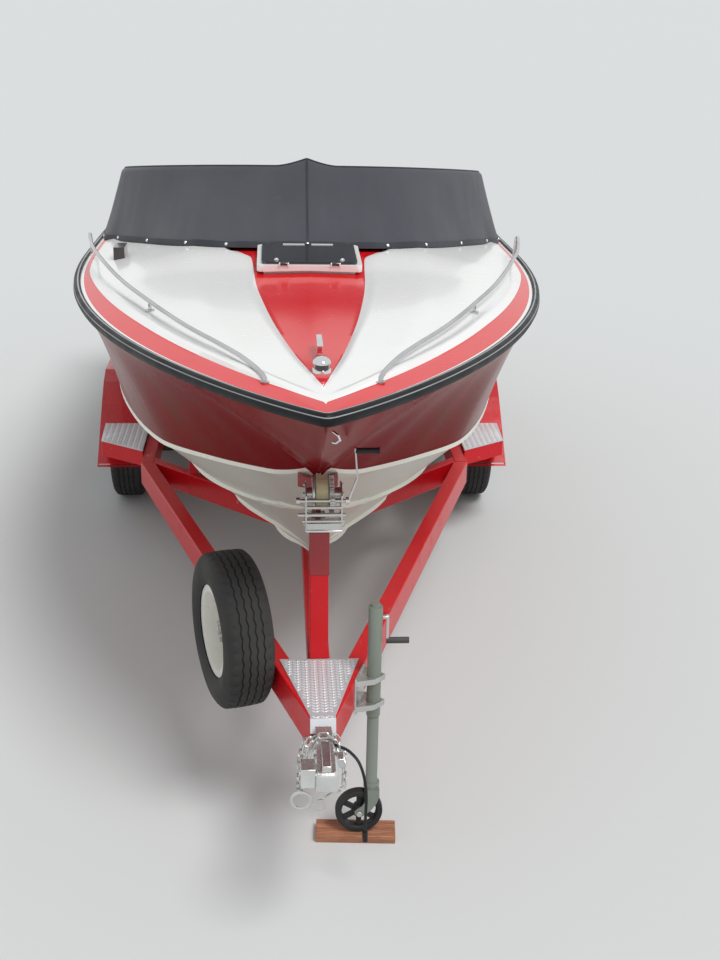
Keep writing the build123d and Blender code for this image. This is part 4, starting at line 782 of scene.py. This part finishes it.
snap_steel = grained("snap_nickel", (0.85, 0.85, 0.86), (0.75, 0.75, 0.76), 0.2, 60, 0.0001, metal=0.8)
shown(poured("cover_snaps", snaps), [snap_steel])

# Fittings on the boat's deck: a horn with a flared bell on the starboard side, a bow light with a
# dark lens, the cleats, and a hook on the stem.
dark_lens = grained("lens_dark", (0.03, 0.02, 0.02), (0.04, 0.02, 0.02), 0.12, 60, 0.0001, coat=0.6)
dress("hull_eyes", steel, 0.0015)
dress("deck_fittings", steel, 0.0015, dark_lens, lambda place: place.x < -0.9 and place.y < 3)
# Columns: height, radius, tone of the strip above it. The lamp is longer than it is wide.
LAMP_LEVELS = (
    (1.205, 0.040, 0), (1.236, 0.038, 0), (1.238, 0.033, 1), (1.256, 0.031, 0), (1.258, 0.037, 0),
    (1.266, 0.036, 0), (1.275, 0.029, 0), (1.281, 0.018, 0), (1.283, 0.006, 0),
)
LAMP_Y, LAMP_WIDE, LAMP_LONG, LAMP_STEPS = 0.005, 0.93, 1.25, 40
HORN_X, HORN_Z = -1.020, 1.228
HORN_BELLS = ((2.400, 0.033), (2.412, 0.026), (2.430, 0.019), (2.470, 0.012), (2.540, 0.010), (2.543, 0.004))
HOOK_WIRE, HOOK = 0.0045, (
    (0.022, -0.500, 1.150), (0.040, -0.520, 1.142), (0.046, -0.524, 1.126), (0.034, -0.512, 1.112),
    (0.022, -0.494, 1.108),
)
lamp_rows = []
for z, r, _ in LAMP_LEVELS:
    lamp_rows.append([(LAMP_WIDE * r * c, LAMP_Y + LAMP_LONG * r * s, z) for c, s in circle(LAMP_STEPS)])
lamp_tones = [tone for _, _, tone in LAMP_LEVELS[:-1] for _ in range(LAMP_STEPS)]
lamp_mesh = grid_mesh("bow_lamp", lamp_rows, lamp_tones, closed=True, lids=2)
shown(lamp_mesh, [steel, dark_lens], ["bow_light"])
horn_rows = [[(HORN_X + r * c, y, HORN_Z + r * s) for c, s in circle(28)] for y, r in HORN_BELLS]
shown(grid_mesh("horn_bell", horn_rows, closed=True, lids=2), [steel])
shown(tube_mesh("bow_hook", [Vector(p) for p in HOOK], HOOK_WIRE, 12), [steel])

# Trailer frame: red painted steel, with pale pink streaks along it as painted highlights of the glossy
# paint.
# The centre tube, the diagonals, the straight members and the bunks' posts are made here, in millimetres.
TUBE, TUBE_ENDS = (-46, 46, -96, -4), (-470, 1716)
DIAGONAL = ((44, 1633), (911, 2474), (911, 2558), (44, 1717))
STRAIGHT_Y, STRAIGHT_HALF, STRAIGHT_LONG = (3660, 4560, 5440), 25, 912
POST_X, POST_HALF, POSTS = 640, 23, ((2252, -110, 66), *((y, -20, 150) for y in STRAIGHT_Y))


def ring_of(work, places):
    """Adds corners to work at places in mm."""
    return [work.verts.new(Vector(place) / 1000) for place in places]


def skin(work, *rings):
    """Adds the faces between each ring of corners and the next to work."""
    faces = []
    for one, other in zip(rings, rings[1:]):
        around = zip(one, [*one[1:], one[0]], [*other[1:], other[0]], other)
        faces += [work.faces.new(four) for four in around]
    return faces


def block(work, outline, axis, low, high, tone=0, top=None):
    """Adds a prism to work: an outline in mm between two levels of an axis; top is the far outline."""
    at = "XYZ".index(axis)
    rings = []
    for ring, where in ((outline, low), (top or outline, high)):
        rings.append(ring_of(work, [(*tuple(pair)[:at], where, *tuple(pair)[at:]) for pair in ring]))
    for face in [work.faces.new(ring) for ring in rings] + skin(work, *rings):
        face.material_index = tone


def box(left, right, low, high):
    return (left, low), (right, low), (right, high), (left, high)


def oblong(a, b, half_a, half_b):
    return box(a - half_a, a + half_a, b - half_b, b + half_b)


def disc(a, b, radius, count=32):
    return [(a + radius * c, b + radius * s) for c, s in circle(count)]


def built(name, parts, finishes, soften, stands_for=(), body="rig", place=PARKED, work=None):
    """A piece of prisms, each given as block's values, and of what work holds, with rounded edges."""
    work = work or bmesh.new()
    for part in parts:
        block(work, *part)
    bmesh.ops.recalc_face_normals(work, faces=work.faces)
    mesh = poured(name, work)
    mesh.shade_smooth()
    mesh.set_sharp_from_angle(angle=CREASE)
    piece = added(name, mesh)
    if soften:
        rounded(piece, soften)
    return settle(piece, finishes, body, stands_for, place)


red_frame, frame_place = new_finish("paint_red")
worn = frame_place.noise(7.0, 6.0).clear(0.56, 0.70)
# Paler pink streaks along the tubes: painted highlights of the glossy red paint.
painted_highlight_streaks = frame_place.stretched(1, 0.3, 1).noise(40.0, 5.0).clear(0.66, 0.74)
frame_tone = (worn * 0.4).mix((0.60, 0.006, 0.012), (0.66, 0.020, 0.026))
surface(frame_place, {
    "Base Color": (painted_highlight_streaks * 0.35).mix(frame_tone, (0.66, 0.40, 0.38)),
    "Roughness": worn * 0.1 + 0.3, "Specular IOR Level": 0.3, "Coat Weight": 0.08, "Coat Roughness": 0.1,
    "Normal": frame_place.noise(45.0, 3.0).bump(0.0003),
})
fender_red = grained("fender_red", (0.62, 0.008, 0.014), (0.54, 0.006, 0.012), 0.25, 40, 0.0003, coat=0.15)
dress("drawbar_port drawbar_starboard rail_port rail_starboard step_beams", red_frame, 0.005)
dress("fender_port fender_starboard", fender_red, 0.006)
members, uprights = [(box(*TUBE), "Y", *TUBE_ENDS)], []
members += [(oblong(0, y, STRAIGHT_LONG, STRAIGHT_HALF), "Z", -110, -20) for y in STRAIGHT_Y]
for side in SIDES.values():
    members.append(([(side * x, y) for x, y in DIAGONAL], "Z", -130, -4))
    for y, low, high in POSTS:
        uprights.append((oblong(side * POST_X, y, POST_HALF, POST_HALF), "Z", low, high))
built("cross_frame", members, [red_frame], 0.005, ["cross_members"])
built("bunk_uprights", uprights, [red_frame], 0.003, ["bunk_posts"])
black_paint = grained("paint_black", 0.014, (0.024, 0.023, 0.022), 0.5, 90, gloss=0.3)
dress("bunks", grained("bunk_carpet", (0.05, 0.05, 0.055), 0.07, 0.95, 500, 0.002), 0.012)
dress("axles light_brackets spare_carrier", black_paint, 0.003)
lamp_lens = grained("lamp_lens", (0.42, 0.01, 0.012), (0.36, 0.01, 0.01), 0.15, 60, 0.0002, coat=0.5)
dress("tail_lights", lamp_lens, 0.004)
dress("plate_bracket", grained("plate_white", 0.8, (0.75, 0.75, 0.74), 0.3, 60, 0.0002), 0.002)

# Aluminium tread plates: on the tongue and on the step beams, with raised bars that lean left
# and right by turns in chevron rows. The tongue's plate is bent down over the coupler's sleeve.
TONGUE_LIP = ((-446, 0), (-446, 5), (-475, 5), (-505, -42), (-501, -45), (-472, 0))
STEP_PLATE = ((957, 2568), (1222, 2756), (1238, 3098), (957, 3098))
# Columns: outline of each plate, height of its top.
TREADS = (
    (((-163, 0), (-49, -446), (49, -446), (163, 0)), 5),
    (((-49, -474), (49, -474), (49, -447), (-49, -447)), 5),
    (STEP_PLATE, 25), ([(-x, y) for x, y in reversed(STEP_PLATE)], 25),
)
BAR_LONG, BAR_WIDE, BAR_HIGH, BAR_LEAN, BAR_MARGIN, BAR_CROWN = 21, 7.5, 1.3, radians(42), 10, 0.7
PITCH_X, PITCH_Y = 17, 21
BAR = ((-0.5, 0), (-0.3, -0.5), (0.3, -0.5), (0.5, 0), (0.3, 0.5), (-0.3, 0.5))


def inside(x, y, outline):
    """Whether a place is in a convex outline, at least the bars' margin from its edges."""
    for (x0, y0), (x1, y1) in zip(outline, [*outline[1:], outline[0]]):
        edge = Vector((x1 - x0, y1 - y0)).normalized()
        if edge.x * (y - y0) - edge.y * (x - x0) < BAR_MARGIN:
            return False
    return True


def cells(values, pitch):
    """The numbers of the bars' rows that values reach over."""
    return range(int(min(values) // pitch), int(max(values) // pitch) + 2)


tread_alloy, tread_place = new_finish("tread_plate")
dirt = tread_place.noise(5.0, 6.0).clear(0.5, 0.72)
surface(tread_place, {
    "Base Color": (dirt * 0.5).mix((0.62, 0.63, 0.65), (0.48, 0.48, 0.50)),
    "Roughness": dirt * 0.15 + 0.42, "Metallic": 0.4,
    "Normal": tread_place.noise(160.0, 3.0).bump(0.0004),
})
dress("tongue_plate tread_plates", tread_alloy, 0.0015)
built("tongue_lip", [(TONGUE_LIP, "X", -49, 49)], [tread_alloy], 0.0012)
bars = []
for outline, top in TREADS:
    for i in cells([x for x, _ in outline], PITCH_X):
        turn = Matrix.Rotation(BAR_LEAN if i % 2 else -BAR_LEAN, 2)
        for j in cells([y for _, y in outline], PITCH_Y):
            middle = Vector((i * PITCH_X, j * PITCH_Y))
            if inside(*middle, outline):
                ring = [turn @ Vector((BAR_LONG * u, BAR_WIDE * v)) for u, v in BAR]
                foot, crown = [middle + p for p in ring], [middle + p * BAR_CROWN for p in ring]
                bars.append((foot, "Z", top - 0.3, top + BAR_HIGH, 0, crown))
bar_tops = grained("tread_bars", (0.84, 0.85, 0.87), (0.76, 0.77, 0.79), 0.35, 90, 0.0003, metal=0.3)
built("tread_bars", bars, [bar_tops], 0)

# Coupler: zinc plated, its sleeve under the tongue's nose, a shank, a ball head with a socket
# below, its brake actuator's box to starboard and a locking lever on top.
zinc = grained("zinc_plated", (0.62, 0.62, 0.60), (0.44, 0.44, 0.43), 0.30, 120, 0.0003, metal=0.85)
bright_zinc = grained("zinc_bright", (0.74, 0.74, 0.73), 0.50, 0.26, 90, 0.0008, metal=0.9)
HEAD_Y, HEAD_WIDE, HEAD_LONG, HEAD_ROUND, HEAD_STEPS = -795, 88, 150, 28, 48
BALL_Y, SOCKET, SOCKET_TOP, HEAD_LOW = -815, 25.6, -5, -57
COUPLER_PARTS = (
    (box(-49, 49, -106, -50), "Y", -600, -470),  # sleeve
    (box(-32, 32, -57, -8), "Y", -760, -508),  # shank
    (box(-92, -40, -860, -786), "Z", -45, 29),  # actuator
    (((-845, 8), (-845, 32), (-700, 46), (-700, 36), (-800, 8)), "X", -16, 16),  # lever
    (disc(-640, -33, 9, 6), "X", -38, 38),  # bolts
    (disc(-560, -78, 10, 6), "X", -55, 55),
    (disc(BALL_Y - 8, -6, 8, 20), "X", -97, -90),  # actuator's cap
    (disc(-690, -22, 13, 20), "X", 30, 66),  # brake's cylinder and its seat
    (box(30, 66, -740, -700), "Z", -42, -6),
    (box(-44, 44, -770, -716), "Z", -46, 4),  # head's neck
    (disc(0, -520, 15, 24), "Z", -50, -30, 1),  # cable's grommet
)


def head_ring(inset):
    """The ball head's outline, drawn in by inset."""
    wide, long, radius = HEAD_WIDE / 2 - HEAD_ROUND, HEAD_LONG / 2 - HEAD_ROUND, HEAD_ROUND - inset
    turns = circle(HEAD_STEPS, 0.5)
    return [(copysign(wide, c) + radius * c, HEAD_Y + copysign(long, s) + radius * s) for c, s in turns]


hole = [(SOCKET * c, BALL_Y + SOCKET * s) for c, s in circle(HEAD_STEPS, 0.5)]
levels = [(hole, SOCKET_TOP), (hole, HEAD_LOW)]
levels += [(head_ring(inset), z) for inset, z in ((0, HEAD_LOW), (0, 1), (3, 8), (12, 15))]
coupler = bmesh.new()
head = [ring_of(coupler, [(x, y, z) for x, y in ring]) for ring, z in levels]
skin(coupler, *head)
coupler.faces.new(head[0])
coupler.faces.new(head[-1])
built("surge_coupler", COUPLER_PARTS, [bright_zinc, black_paint], 0.002, ["coupler"], work=coupler)

# Safety chains: forged links, every other one turned on edge, from the drawbars forward and round
# the coupler's shank to a snap hook.
LINK_BAR, LINK_LONG, LINK_WIDE, LINK_LEAN, LINK_SWING = 7.0, 46.0, 27.0, 38, 9
LINK_STEPS, BAR_STEPS = 24, 8
# The end ring and the snap hook: middle; length, width, bar.
RING_AT, RING_SIZE, HOOK_AT, HOOK_SIZE = (-90, -850, -100), (80, 78, 12), (-20, -818, -146), (56, 32, 9)
CHAIN_RUNS = (
    ((-64, -470, -80), (-88, -560, -110), (-94, -680, -130), (-91, -800, -100), (-90, -846, -66)),
    ((-66, -585, -150), (-72, -560, -100), (-56, -536, -54), (-20, -524, -34), (25, -522, -32),
     (58, -534, -56), (74, -570, -104), (72, -620, -140)),
    ((-80, -650, -126), (-62, -624, -72), (-36, -598, -14), (0, -592, 8), (36, -606, -14), (62, -640, -70),
     (72, -690, -108), (62, -745, -122), (24, -786, -112), (-8, -808, -120)),
)


def oval(work, middle, along, across, long, wide, bar):
    """Adds a closed ring of round bar, with straight sides, to work."""
    normal = along.cross(across)
    rings = []
    for c, s in circle(LINK_STEPS):
        out = along * c + across * s
        centre = middle + out * (wide - bar) / 2 + along * copysign((long - wide) / 2, c)
        ring = [centre + (out * a + normal * b) * bar / 2 for a, b in circle(BAR_STEPS)]
        rings.append(ring_of(work, ring))
    skin(work, *rings, rings[0])


chains = bmesh.new()
for run in CHAIN_RUNS:
    ends = curve_points([Vector(p) for p in run], LINK_LONG - 2 * LINK_BAR - 1)
    for turn, (a, b) in enumerate(zip(ends, ends[1:])):
        along = (b - a).normalized()
        flat = along.cross(Vector((0.2, 0.1, 1))).normalized()
        tilt = Matrix.Rotation(radians(LINK_SWING * (turn * 7 % 3 - 1) - LINK_LEAN), 3, along)
        facing = tilt @ (along.cross(flat) if turn % 2 else flat)
        oval(chains, (a + b) / 2, along, facing, LINK_LONG, LINK_WIDE, LINK_BAR)
ACROSS, UP = Vector((1, 0, 0)), Vector((0, 0, 1))
oval(chains, Vector(RING_AT), ACROSS, UP, *RING_SIZE)
oval(chains, Vector(HOOK_AT), UP, ACROSS, *HOOK_SIZE)
built("chain_links", (), [zinc], 0, ["safety_chains"], work=chains)

# Winch: raked red post in a sleeve painted darker red as painted shade, zinc side plates, a toothed wheel
# driven by a small pinion, a crank with a black grip, pale webbing on the drum, and a red V for the stem in
# the same shaded red.
FOOT_Y, HEAD_POST_Y, POST_HIGH = 38.0, 118.0, 535.0
POST_HALF_WIDE, SLEEVE_LOW, SLEEVE_HALF = 38.0, 355.0, 41.0
HEAD_X, HEAD_PLATE_Y, WINCH_LOW = (-57, 92), (70, 210), 545.0
DRUM, CRANK, PINION_LOW = (185.0, 655.0), (90.0, 665.0), (88, 605)
SIDE_THICK = 6
SIDE_PLATE = ((75, 545), (205, 545), (225, 640), (215, 705), (150, 715), (75, 690))
# Shafts of the winch. Columns: y, z, radius, left end, right end.
SHAFTS = (
    (*CRANK, 8, -95, 118), (*PINION_LOW, 8, -88, 105), (195, 565, 6, -57, 92), (*DRUM, 32, -52, 88),
    (*DRUM, 12, -66, 101), (*DRUM, 82, -28, -18), (80, 640, 7, -57, 92), (82, 580, 6, -70, 100),
    (*CRANK, 14, -95, -78), (*PINION_LOW, 12, -57, -44), (*PINION_LOW, 12, 80, 92),
)
# Wheels of the gearing. Columns: y, z, root and tip radius, teeth, share of a tooth turned.
PINION_TEETH = 10
GEARS, GEAR_ENDS = ((*DRUM, 72.5, 79.5, 36, 0.5), (*CRANK, 16.0, 23.0, PINION_TEETH, 0.0)), (41, 60)
TOOTH = ((-0.3, 0), (-0.16, 1), (0.16, 1), (0.3, 0))
WINCH_FOOT, PLATE_BOLTS, BOLT_LONG = (76, 118, 545, 572), ((100, 560), (180, 560), (205, 690)), 7
GRIP, HANDLE_BAR = (90, 877), ((107, 655), (115, 655), (153, 762), (142, 889), (135, 889), (146, 763))
STRAP_ENDS, STRAP_ROLL, STRAP_WAVE, WAVES, ROLL_STEPS = (-13, 37), 60.5, 1.6, 5, 64
STRAP_PLIES, FRAY = (57, 53, 49, 45), 0.12
STRAP_TAIL = ((185, 713.5), (185, 717), (246, 719.5), (246, 716))
STOP_FOOT = (-30, 30, 208, 292)
STOP_POST = ((240, 540), (285, 540), (306, 660), (276, 660))
STOP_ARM = ((0, 272), (84, 318), (84, 385), (68, 385), (68, 345), (0, 308))


def post_side(half, low, high):
    """Side view of a length of the raked post."""
    low_y, high_y = (FOOT_Y + (HEAD_POST_Y - FOOT_Y) * z / POST_HIGH for z in (low, high))
    return (low_y - half, low), (low_y + half, low), (high_y + half, high), (high_y - half, high)


# A darker copy of the frame's red for the post's sleeve and the stem's V: painted shade.
shaded_red_paint = grained("shaded_red_paint", (0.26, 0.008, 0.012), (0.34, 0.012, 0.016), 0.3, 50, 0.0003, coat=0.4)
stand = (
    (post_side(POST_HALF_WIDE, 4, POST_HIGH), "X", -POST_HALF_WIDE, POST_HALF_WIDE),
    (post_side(SLEEVE_HALF, SLEEVE_LOW, POST_HIGH - 2), "X", -SLEEVE_HALF, SLEEVE_HALF, 1),
    (box(*HEAD_X, *HEAD_PLATE_Y), "Z", POST_HIGH, WINCH_LOW, 2),
)
built("winch_post", stand, [red_frame, shaded_red_paint, bright_zinc], 0.003, ["winch_stand"])

left, right = HEAD_X
winch = [(SIDE_PLATE, "X", x, x + SIDE_THICK) for x in (left, right - SIDE_THICK)]
winch += [(disc(y, z, radius), "X", low, high) for y, z, radius, low, high in SHAFTS]
facing = (Vector(CRANK) - Vector(DRUM)).angle_signed(Vector((1, 0)))
for y, z, root, tip, teeth, turned in GEARS:
    start = facing + (pi if teeth == PINION_TEETH else 0)
    ring = []
    for tooth in range(teeth):
        for share, out in TOOTH:
            a, radius = start + (tooth + turned + share) * 2 * pi / teeth, tip if out else root
            ring.append((y + radius * cos(a), z + radius * sin(a)))
    winch.append((ring, "X", *GEAR_ENDS))
winch.append((box(*WINCH_FOOT), "X", left + SIDE_THICK, right - SIDE_THICK))
for y, z in PLATE_BOLTS:
    winch += [(disc(y, z, 8, 6), "X", x, x + BOLT_LONG) for x in (left - BOLT_LONG, right)]
built("winch_works", winch, [zinc], 0.001, ["winch"])

handle = (
    (HANDLE_BAR, "Y", 82, 98),
    (disc(*CRANK, 15), "X", 104, 120), (disc(*GRIP, 6), "X", 134, 150),
    (disc(*GRIP, 12), "X", 140, 234, 1), (disc(*GRIP, 14.5), "X", 228, 236, 1),
)
built("winch_crank", handle, [bright_zinc, black_paint], 0.0012, ["winch_handle"])

webbing = grained("strap_webbing", (0.74, 0.68, 0.42), (0.64, 0.58, 0.34), 0.8, 500, 0.0008)
roll = []
for i, (c, s) in enumerate(circle(ROLL_STEPS)):
    radius = STRAP_ROLL + STRAP_WAVE * cos(WAVES * 2 * pi * i / ROLL_STEPS) * (i % 16 > 8)
    roll.append((DRUM[0] + radius * c, DRUM[1] + radius * s))
strap = [(roll, "X", *STRAP_ENDS), (STRAP_TAIL, "X", *STRAP_ENDS)]
for radius in STRAP_PLIES:
    frayed = (60 - radius) * FRAY
    strap.append((disc(*DRUM, radius, 48), "X", STRAP_ENDS[0] - frayed, STRAP_ENDS[1] + frayed))
built("strap_roll", strap, [webbing], 0.0008, ["winch_strap"])

stop = [(STOP_POST, "X", -12, 12), (box(*STOP_FOOT), "Z", POST_HIGH, WINCH_LOW)]
stop += [([(side * x, y) for x, y in STOP_ARM], "Z", 640, 690) for side in SIDES.values()]
built("stop_fork", stop, [shaded_red_paint], 0.003, ["bow_stop"])

# Jack: grey-green tube and leg, zinc collar, bracket and crank, a black wheel on a board.
ROLL_X, ROLL_Y, ROLL_Z, ROLL_HALF = 168, -127, -639.1, 22
FORK_Z, FORK_DROP, ARM_GAP, ARM_THICK, PIN, NUT, HUB, SPOKE_HALF = -522, 136, 6, 6, 8, 13, 25, 8
FORK_SIDE = (
    (190, 0), (250, 0), (251, -34), (240, -70), (216, -104), (190, -128), (168, -136), (150, -124),
    (148, -108), (160, -96), (178, -84), (190, -64), (194, -36),
)
HALF_TREAD = ((14, 72), (21, 77), (22, 88), (20, 96), (12, 99))
SPOKES, SPOKE = 6, ((16, -11), (66, -10), (76, -17), (76, 17), (66, 10), (16, 11))
BOARD_MIDDLE, BOARD_TURN, BOARD_HALF, BOARD_THICK = (0.1575, -2.8186, 0), radians(-3.5), (167.5, 54), 38
jack_green = grained("jack_paint", (0.205, 0.235, 0.195), (0.165, 0.19, 0.16), 0.4, 60, 0.0003)
grip_grey = grained("grip_grey", 0.05, 0.07, 0.6, 60)
dress("jack_tube jack_leg", jack_green, 0.0015)
dress("jack_mount", zinc, 0.0015)
dress("jack_crank", zinc, 0.001, grip_grey, lambda place: place.x > 0.273)
arm = [(x, FORK_Z + z * (FORK_Z - ROLL_Z + 18) / FORK_DROP) for x, z in FORK_SIDE]
ahead, behind = ROLL_Y - ROLL_HALF, ROLL_Y + ROLL_HALF
outside = ahead - ARM_GAP - ARM_THICK, behind + ARM_GAP + ARM_THICK
fork = [
    (arm, "Y", outside[0], ahead - ARM_GAP), (arm, "Y", behind + ARM_GAP, outside[1]),
    (box(190, 250, *outside), "Z", FORK_Z - ARM_THICK, FORK_Z),
    (disc(ROLL_X, ROLL_Z, PIN), "Y", outside[0] - 4, outside[1] + 4, 1),
    (disc(ROLL_X, ROLL_Z, NUT, 6), "Y", outside[0] - 7, outside[0], 1),
]
built("jack_yoke", fork, [jack_green, zinc], 0.0015, ["jack_fork"], "jack_slide")
moulded = grained("wheel_moulded", (0.022, 0.022, 0.023), (0.035, 0.035, 0.036), 0.5, 80, 0.0005, gloss=0.2)
roller = bmesh.new()
tread, profile = [], [(-u, r) for u, r in reversed(HALF_TREAD)] + list(HALF_TREAD)
for c, s in circle(64):
    tread.append(ring_of(roller, [(ROLL_X + r * c, ROLL_Y + u, ROLL_Z + r * s) for u, r in profile]))
skin(roller, *tread, tread[0])
hub = [(disc(ROLL_X, ROLL_Z, HUB), "Y", ahead, behind)]
for c, s in circle(SPOKES, 0.5):
    spoke = [(ROLL_X + c * r - s * w, ROLL_Z + s * r + c * w) for r, w in SPOKE]
    hub.append((spoke, "Y", ROLL_Y - SPOKE_HALF, ROLL_Y + SPOKE_HALF))
built("jack_roller_wheel", hub, [moulded], 0.0015, ["jack_wheel"], "jack_roller",
      work=roller)
timber, timber_place = new_finish("board_timber")
growth = timber_place.stretched(1.2, 14, 14).noise(5.0, 6.0).clear(0.35, 0.65)
pores = timber_place.stretched(4, 90, 90).noise(6.0, 3.0).clear(0.5, 0.7)
board_tone = growth.mix((0.47, 0.20, 0.105), (0.33, 0.13, 0.07))
surface(timber_place, {
    "Base Color": (pores * 0.4).mix(board_tone, (0.20, 0.08, 0.045)),
    "Roughness": 0.72, "Normal": (growth + pores).bump(0.0012),
})
board_place = Matrix.Translation(BOARD_MIDDLE) @ Matrix.Rotation(BOARD_TURN, 4, "Z")
plank = [(oblong(0, 0, *BOARD_HALF), "Z", 0, BOARD_THICK)]
built("board_plank", plank, [timber], 0.003, ["board"], place=board_place)

# Wheels: five cream steel rims, and tyres with zigzag grooves round the tread and cut shoulders.
# Tyre columns: place across the wheel and radius, from bead to shoulder.
TYRE_SIDE = (
    (-0.086, 0.1955), (-0.092, 0.205), (-0.0985, 0.222), (-0.1005, 0.234), (-0.1025, 0.250),
    (-0.1015, 0.275), (-0.099, 0.281), (-0.0985, 0.286), (-0.096, 0.297), (-0.088, 0.311), (-0.080, 0.320),
    (-0.072, 0.3255),
)
SHOULDER, TREAD_HALF, TREAD_RADIUS, CROWN, TREAD_LIP = 0.315, 0.068, 0.3285, 0.003, 0.010
LIP_CROWN, LIP_CUT = 0.7, 0.6
GROOVES, GROOVE_WIDE, GROOVE_DEEP = (-0.045, -0.015, 0.015, 0.045), 0.007, 0.007
GROOVE = ((-0.5, 0), (-0.35, 1), (0.35, 1), (0.5, 0))
ZIGZAG, PERIODS, NOTCH = (0.003, 0, -0.003, 0), 40, 0.006
WHEEL_X, WHEEL_Z, AXLES = 1.126, 0.3315, {"front": 0.7364, "rear": 1.5764}
SPARE = PARKED @ Matrix.Translation((-0.3599, 0.150, 0.073)) @ Matrix.Rotation(radians(17.37), 4, "Z")
CAP, SPARE_CAP = 27, 20
# Discs on a wheel's face, after its cap: how many, share of a step turned, radius of their circle,
# radius and corners of each, two ends, tone.
FACE_DISCS = ((5, 0, 57, 11, 6, (34, 50), 0), (8, 0.5, 124, 13, 20, (23, 24.8), 1))
tyre_rows = []
for i, (c, s) in enumerate(circle(4 * PERIODS)):
    cut = NOTCH if i % 4 == 0 else 0
    section = [(x, r - (cut if r > SHOULDER else 0)) for x, r in TYRE_SIDE]
    section.append((-TREAD_HALF, TREAD_RADIUS - CROWN - cut))
    section.append((-TREAD_HALF + TREAD_LIP, TREAD_RADIUS - CROWN * LIP_CROWN - cut * LIP_CUT))
    far = [(-x, r) for x, r in reversed(section)]
    for middle in GROOVES:
        x, rise = middle + ZIGZAG[i % 4], TREAD_RADIUS - CROWN * (middle / TREAD_HALF) ** 2
        section += [(x + share * GROOVE_WIDE, rise - depth * GROOVE_DEEP) for share, depth in GROOVE]
    tyre_rows.append([(x, r * c, r * s) for x, r in section + far])
tyre_mesh = welded(grid_mesh("tyre", [*tyre_rows, tyre_rows[0]]), radians(38))
rubber = grained("tyre_rubber", (0.034, 0.033, 0.032), (0.052, 0.050, 0.047), 0.75, 150, 0.0006, gloss=0.25)
tyre_mesh.materials.append(rubber)
rim_paint = grained("rim_paint", (0.80, 0.78, 0.72), (0.72, 0.70, 0.63), 0.3, 60, 0.0003, coat=0.3)
wheels = []
for name, side in SIDES.items():
    for end, y in AXLES.items():
        place = Matrix.Translation((side * WHEEL_X, y, WHEEL_Z))
        wheels.append((f"{end}_{name}", f"wheel_{end}_{name}", side, place, f"tyre_{end}_{name}", CAP))
        dress(f"rim_{end}_{name}", rim_paint, 0.002)
dress("spare_rim", rim_paint, 0.002)
wheels.append(("spare", "rig", -1, SPARE, "spare_tyre", SPARE_CAP))
for name, body, side, place, tyre_node, cap in wheels:
    settle(added(f"tread_{name}", tyre_mesh), (), body, [tyre_node], place)
    parts = []
    for count, turned, reach, radius, corners, ends, tone in ((1, 0, 0, cap, 32, (20, 64), 0), *FACE_DISCS):
        for c, s in circle(count, turned):
            ring = disc(reach * c, reach * s, radius, corners)
            parts.append((ring, "X", *sorted(side * x for x in ends), tone))
    built(f"hub_{name}", parts, [bright_zinc, black_paint], 0.0006, (), body, place)

# Sterndrive, behind the transom: dark grey castings and an alloy propeller.
drive_paint = grained("drive_paint", (0.03, 0.032, 0.035), 0.05, 0.35, 60, 0.0003, coat=0.3)
dress("drive_mount drive_yoke drive_leg", drive_paint, 0.004)
dress("propeller", grained("alloy_cast", 0.55, 0.45, 0.3, 60, 0.0003, metal=0.9), 0.001)
